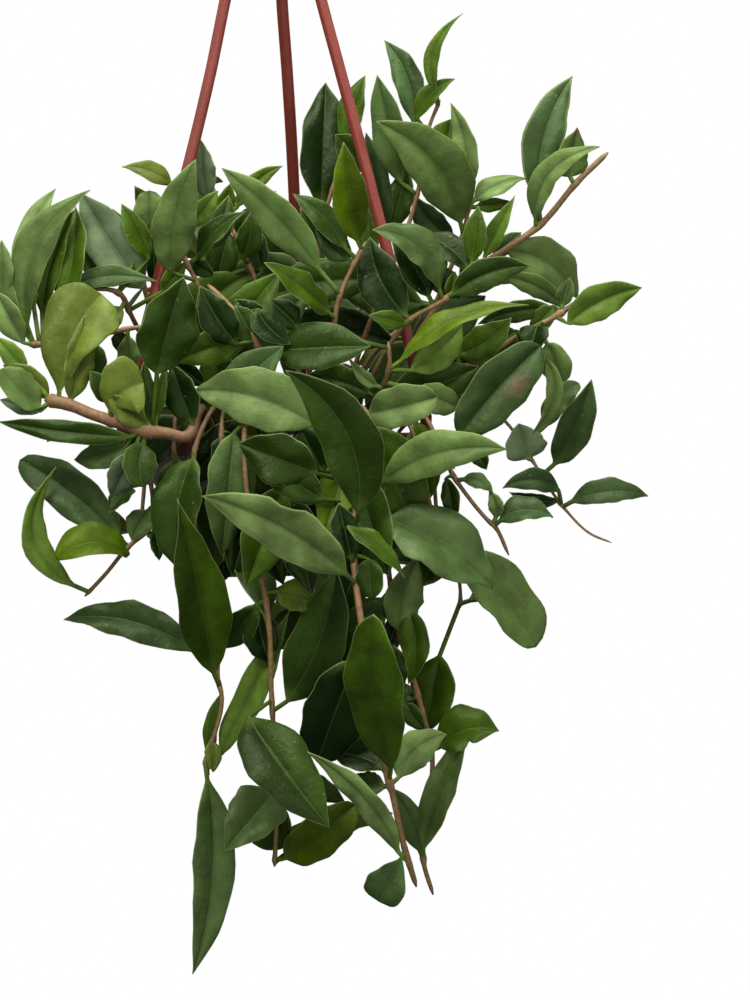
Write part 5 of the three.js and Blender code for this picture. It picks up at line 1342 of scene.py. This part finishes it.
class Growth:
    """The skin of one stem with its leaves, and what its materials read at each point."""

    def __init__(self, look):
        self.points = []
        self.faces = []
        self.kinds = []
        self.tint = []
        self.rib = []
        self.edge = []
        self.look = look
        self.tones = {
            "K": look.deep, "D": look.dark, "N": look.shady, "M": look.middle, "S": look.sage,
            "G": look.grey, "H": look.pale, "L": look.light, "Y": look.yellow, "U": look.underside,
            "P": look.dusty,
        }

    def ring(self, points, tints, ribs, edges):
        """Adds a ring of points with what the materials read there, and gives its first number."""
        start = len(self.points)
        self.points += [placed(p) for p in points]
        self.tint += tints
        self.rib += ribs
        self.edge += edges
        return start

    def skin(self, starts, count, kind):
        """Closes a run of rings into a skin of one kind."""
        made = closed(starts, count)
        self.faces += made
        self.kinds += [kind] * len(made)

    def stem(self, stem):
        """A round stem, swollen where a leaf leaves it and rounded at its tip."""
        line = sampled(stem.way, STEM_STEP)
        joints = [n + t + 2 for n, t in (leaf["root"] for leaf in stem.leaves)]
        last = len(stem.way) - 1
        old = stem.thick > OLD_STEM_R
        bark = self.look.old_bark if old else self.look.bark
        young = self.tones["L"]
        side = Vector((1, 0.13, 0.07)).normalized()
        starts = []
        for i, (p, way, at) in enumerate(line):
            radius = (1 if old else SLIM) * mixed(stem.thick, stem.thin, at / last)
            n = min(int(at), last - 1)
            span = (stem.way[n + 1] - stem.way[n]).length
            for joint in joints:
                radius += SWELLING * math.exp(-(((at - joint) * span / 1.8) ** 2))
            radius += 0.05 * noise.noise(p * 0.35)
            radius *= math.sqrt(min(1, (len(line) - 1 - i + 0.15) / 1.5))
            side = square_to(way, side)
            out = side.cross(way)
            ring = [
                p + radius * (side * math.cos(a) + out * math.sin(a))
                for a in (2 * math.pi * k / STEM_SIDES for k in range(STEM_SIDES))
            ]
            green = smooth(0.8, 1, at / last) * 0.15
            # Painted shade: the bark is painted darker near the pot, where the crown shades it.
            low = 1 - 0.55 * smooth(100, 66, p.xy.length) * smooth(46, 16, abs(p.z - 2))
            shade = [mixed(bark[c], young[c], green) * low for c in range(3)] + [1]
            far = [FAR] * STEM_SIDES
            starts.append(self.ring(ring, shade * STEM_SIDES, far, far))
        self.skin(starts, STEM_SIDES, 1)

    def leaf(self, stem, leaf):
        """A leaf: a short round stalk that opens into a thin folded blade with soft margins."""
        foot, tip, form = leaf["foot"], leaf["tip"], leaf["form"]
        key = leaf["key"]
        n, t = leaf["root"]
        root = upright(smooth_point(stem.way, stem.ways, n + 2, t)[0])
        plain_root = stem.path[n].lerp(stem.path[n + 1], t)
        along = tip - foot
        reach = along.length
        along.normalize()
        flat = square_to(along, leaf["facing"])
        left = flat.cross(along)
        roll = leaf["roll"]
        bow, arch = leaf["bow"], leaf["arch"]

        def midrib(t):
            hump = 4 * t * (1 - t) * reach
            return foot + along * (reach * t) + left * (hump * bow) + flat * (hump * arch)

        def heading(t):
            slope = 4 * (1 - 2 * t)
            return (along + left * (slope * bow) + flat * (slope * arch)).normalized()

        p, q = FORMS[form]
        peak = (p / (p + q)) ** p * (q / (p + q)) ** q
        start = leaf["petiole"]
        if not leaf.get("foot_moved"):
            start = max(start, ((plain_root - foot).dot(along) + SHORTEST) / reach)
        neck = midrib(start)
        fine = leaf.get("fine")
        across = FINE_ACROSS if fine else ROUGH_ACROSS
        stations = 18 if fine else 12
        fold = 0.16 + 0.14 * draw(key, 11)
        bulge = 0.12 + 0.16 * draw(key, 12)
        twist = leaf.get("twist", 0) + 0.3 * (draw(key, 13) - 0.5)
        wave = leaf.get("wave", 1) * (0.5 + 1.1 * draw(key, 14)) * reach / 60
        turns = 1.3 + 1.6 * draw(key, 15)
        phases = (6.28 * draw(key, 16), 6.28 * draw(key, 17))
        uneven = 0.05 * (draw(key, 18) - 0.5)
        # Painted shade and light: a leaf's shade mark paints it darker in all, on top of its
        # random tone, and its halves are painted one lighter than the other, as lamps light the
        # two sides of its fold.
        tone_and_painted_shade = leaf.get("shade", 1) * (0.86 + 0.28 * draw(key, 19))
        painted_halves = leaf.get("painted_halves", 0.36 * (draw(key, 20) - 0.5))
        tone = self.tones[leaf["tone"]]
        under = self.tones["U"] if leaf["tone"] != "U" else self.tones["L"]
        young = self.tones["L"]
        half_blade = 0.5 * self.look.blade / MM
        count = 2 * len(across) - 2
        starts = []

        def face_colour(v, u, top):
            base = tone if top else under
            # The leaf's painted shade and its halves' painted light.
            tone_and_painted_light = tone_and_painted_shade * (1 + painted_halves * (1 if v > 0 else -1) * min(1, abs(v) * 6))
            fresh = 0.45 * smooth(0.14, 0, u)
            shade = [mixed(base[c] * tone_and_painted_light, young[c], fresh) for c in range(3)]
            dead = 0.0
            if leaf.get("torn"):
                dead = smooth(0.78, 0.9, u)
            if leaf.get("spot"):
                dead = 0.8 * smooth(0.16, 0.05, math.hypot(u - 0.62, 0.35 * (v + 0.45)))
            return [mixed(shade[c], DEAD_LEAF[c], dead) for c in range(3)] + [1]

        def section(centre, way, halves_mm, thick, turn, u):
            side = square_to(way, left * math.cos(turn) + flat * math.sin(turn))
            face = way.cross(side)
            if face.dot(flat * math.cos(turn) - left * math.sin(turn)) < 0:
                face = -face
            tops, bottoms = [], []
            flatness = smooth(0, 0.12, u)
            for v in across:
                half = halves_mm[0] if v > 0 else halves_mm[1]
                size = abs(v)
                lift = half * flatness * (fold * size + bulge * 2 * size * (1 - size))
                ripple = wave * flatness * smooth(0.25, 1, size) * math.sin(
                    2 * math.pi * turns * u + phases[0 if v > 0 else 1]
                ) * min(1, half / 5)
                middle = centre + side * (half * v * math.cos(0.6 * fold)) + face * (lift + ripple)
                body = thick * math.sqrt(max(0, 1 - size ** 3))
                keel = flatness * 0.45 * math.exp(-((size * half / 0.8) ** 2))
                tops.append((middle + face * body, v, half, True))
                bottoms.append((middle - face * (body + keel), v, half, False))
            loop = tops + bottoms[-2:0:-1]
            points = [leaned(q) for q, *_ in loop]
            tints = [c for _, v, _, top in loop for c in face_colour(v, u, top)]
            rib_gain = 0.5 if leaf.get("rib") else 1
            off_rib, off_edge = (3, FAR) if u == 0 else (0, 0)
            ribs = [abs(v) * half * rib_gain + off_rib for _, v, half, _ in loop]
            edge_gain = 0.45 if leaf.get("pale") else 1
            edges = [(1 - abs(v)) * half * edge_gain + off_edge for _, v, half, _ in loop]
            return self.ring(points, tints, ribs, edges)

        stalk = (neck - root).normalized()
        for m in range(4):
            share = m / 4
            bend = stalk.lerp(heading(start), share * share).normalized()
            centre = root.lerp(neck, share) + flat * (0.25 * math.sin(math.pi * share))
            starts.append(
                section(centre, bend, (STALK_HALF, STALK_HALF), STALK_THICK, roll * share, 0)
            )
        for number in range(stations + 1):
            s = number / stations
            u = 0.5 * s + 0.25 * (1 - math.cos(math.pi * s))
            t = start + (1 - start) * u
            half = 0.5 * leaf["width"] * u ** p * (1 - u) ** q / peak
            ragged = [
                0.045 * math.sin(2 * math.pi * (turns + 0.7 + m) * u + phases[1 - m])
                for m in (0, 1)
            ]
            sides = [half * (1 + uneven + ragged[0]), half * (1 - uneven + ragged[1])]
            if leaf.get("notch"):
                sides[1] *= 1 - leaf["notch"] * math.exp(-(((u - 0.55) / 0.07) ** 2))
            if leaf.get("torn"):
                sides[0] *= 1 - 0.4 * smooth(0.8, 0.95, u)
            opened = smooth(0, 0.1, u)
            least = mixed(STALK_HALF, 0.12, smooth(0, 0.5, u))
            sides = [max(least, w) for w in sides]
            blade = half_blade * mixed(1, 0.35, smooth(0.8, 1, u))
            thick = mixed(STALK_THICK, blade, opened)
            starts.append(
                section(midrib(t), heading(t), sides, thick, roll + twist * (u - 0.4), u)
            )
        self.skin(starts, count, 0)

    def mesh(self, name):
        """The grown skin as a mesh."""
        mesh = skinned(name, self.points, self.faces)
        mesh.polygons.foreach_set("material_index", self.kinds)
        mesh.attributes.new("tint", "FLOAT_COLOR", "POINT").data.foreach_set("color", self.tint)
        mesh.attributes.new("rib", "FLOAT", "POINT").data.foreach_set("value", self.rib)
        mesh.attributes.new("edge", "FLOAT", "POINT").data.foreach_set("value", self.edge)
        return mesh


class HANGINGPLANT_OT_plant(bpy.types.Operator):
    """Grows every stem with its leaves, one piece for each solid"""

    bl_idname = "hanging_plant.plant"
    bl_label = "Stems and leaves"

    def execute(self, context):
        look = context.scene.hanging_plant
        skins = [waxy_leaf(look), stem_skin()]
        for stem in grown_stems():
            growth = Growth(look)
            growth.stem(stem)
            for leaf in stem.leaves:
                growth.leaf(stem, leaf)
            name = "leafy_stem_" + stem.name
            shown(name, growth.mesh(name), skins, "stem_" + stem.name)
        return {"FINISHED"}


class HANGINGPLANT_OT_stage(bpy.types.Operator):
    """Sets up the floor, the soft lights, the white room and the camera"""

    bl_idname = "hanging_plant.stage"
    bl_label = "Stage"

    def execute(self, context):
        look = context.scene.hanging_stage
        bpy.ops.mesh.primitive_grid_add(
            x_subdivisions=8, y_subdivisions=8, size=FLOOR_SIZE, location=(0, -0.6, -look.floor)
        )
        floor = context.object
        floor.name = "floor_paper"
        material, tree, shader = new_material("paper_matt_white")
        # Real fibres are finer; these are coarse enough to show.
        grain = add_node(
            tree, "ShaderNodeTexNoise", {"Scale": FLOOR_SIZE / PAPER_FIBRE, "Detail": 2.0}
        )
        embossed(tree, shader, (grain, 0.02, 0.2 * MM))
        shader.inputs["Base Color"].default_value = tuple(look.paper)
        shader.inputs["Roughness"].default_value = 0.95
        # Lit from below as a light table is, so it stays pale out to its edges; that light doesn't
        # reach the plant.
        shader.inputs["Emission Color"].default_value = tuple(look.paper)
        shader.inputs["Emission Strength"].default_value = FLOOR_GLOW
        floor.visible_diffuse = False
        floor.visible_glossy = False
        floor.data.materials.append(material)

        for name, place, size, power in LAMPS:
            data = bpy.data.lights.new(name, "AREA")
            data.size = size
            data.energy = power
            lamp = bpy.data.objects.new(name, data)
            lamp.location = place
            aim = (LAMPS_AIM - lamp.location).to_track_quat("-Z", "Y")
            lamp.rotation_euler = aim.to_euler()
            context.scene.collection.objects.link(lamp)

        # The room is white to look at, and lights the plant only faintly.
        world = bpy.data.worlds.new("soft_room")
        world.use_nodes = True
        tree = world.node_tree
        seen = add_node(tree, "ShaderNodeLightPath").outputs["Is Camera Ray"]
        glow = add_node(
            tree, "ShaderNodeMapRange", {"Value": seen, "To Min": look.fill, "To Max": 1.0}
        )
        tree.links.new(glow.outputs["Result"], tree.nodes["Background"].inputs["Strength"])
        tree.nodes["Background"].inputs["Color"].default_value = (1, 1, 1, 1)
        context.scene.world = world

        data = bpy.data.cameras.new("camera")
        data.sensor_fit = "VERTICAL"
        data.sensor_height = SENSOR
        data.lens = SENSOR * look.distance / (VIEW_HEIGHT * MM)
        data.clip_end = FAR_CLIP
        camera = bpy.data.objects.new("camera", data)
        aim = placed(leaned(VIEW_MIDDLE))
        camera.location = (aim.x, -look.distance, aim.z)
        camera.rotation_euler = (math.pi / 2, LEAN, 0)
        context.scene.collection.objects.link(camera)
        context.scene.camera = camera
        context.scene.view_settings.view_transform = "Standard"
        return {"FINISHED"}


class HANGINGPLANT_PT_sidebar(bpy.types.Panel):
    """Lists the settings and the steps"""

    bl_idname = "HANGINGPLANT_PT_sidebar"
    bl_label = "Hanging plant"
    bl_space_type = "VIEW_3D"
    bl_region_type = "UI"
    bl_category = "Hanging plant"

    def draw(self, context):
        for group in GROUPS:
            box = self.layout.box()
            settings = getattr(context.scene, group)
            for name in settings.bl_rna.properties.keys():
                if name not in ("rna_type", "name"):
                    box.prop(settings, name)
        for operator in STEPS:
            self.layout.operator(operator.bl_idname)


GROUPS = {
    "hanging_pot": PotSettings,
    "hanging_soil": SoilSettings,
    "hanging_plant": PlantSettings,
    "hanging_stage": StageSettings,
}
STEPS = (
    HANGINGPLANT_OT_pot,
    HANGINGPLANT_OT_soil,
    HANGINGPLANT_OT_hook,
    HANGINGPLANT_OT_arms,
    HANGINGPLANT_OT_plant,
    HANGINGPLANT_OT_stage,
)


def register():
    for group in GROUPS.values():
        bpy.utils.register_class(group)
    for name, group in GROUPS.items():
        setattr(bpy.types.Scene, name, bpy.props.PointerProperty(type=group))
    for part in (*STEPS, HANGINGPLANT_PT_sidebar):
        bpy.utils.register_class(part)


def unregister():
    for part in (HANGINGPLANT_PT_sidebar, *reversed(STEPS)):
        bpy.utils.unregister_class(part)
    for name, group in GROUPS.items():
        delattr(bpy.types.Scene, name)
        bpy.utils.unregister_class(group)


def main():
    register()
    bpy.ops.hanging_plant.pot()
    bpy.ops.hanging_plant.soil()
    bpy.ops.hanging_plant.hook()
    bpy.ops.hanging_plant.arms()
    bpy.ops.hanging_plant.plant()
    bpy.ops.hanging_plant.stage()


if __name__ == "__main__":
    main()
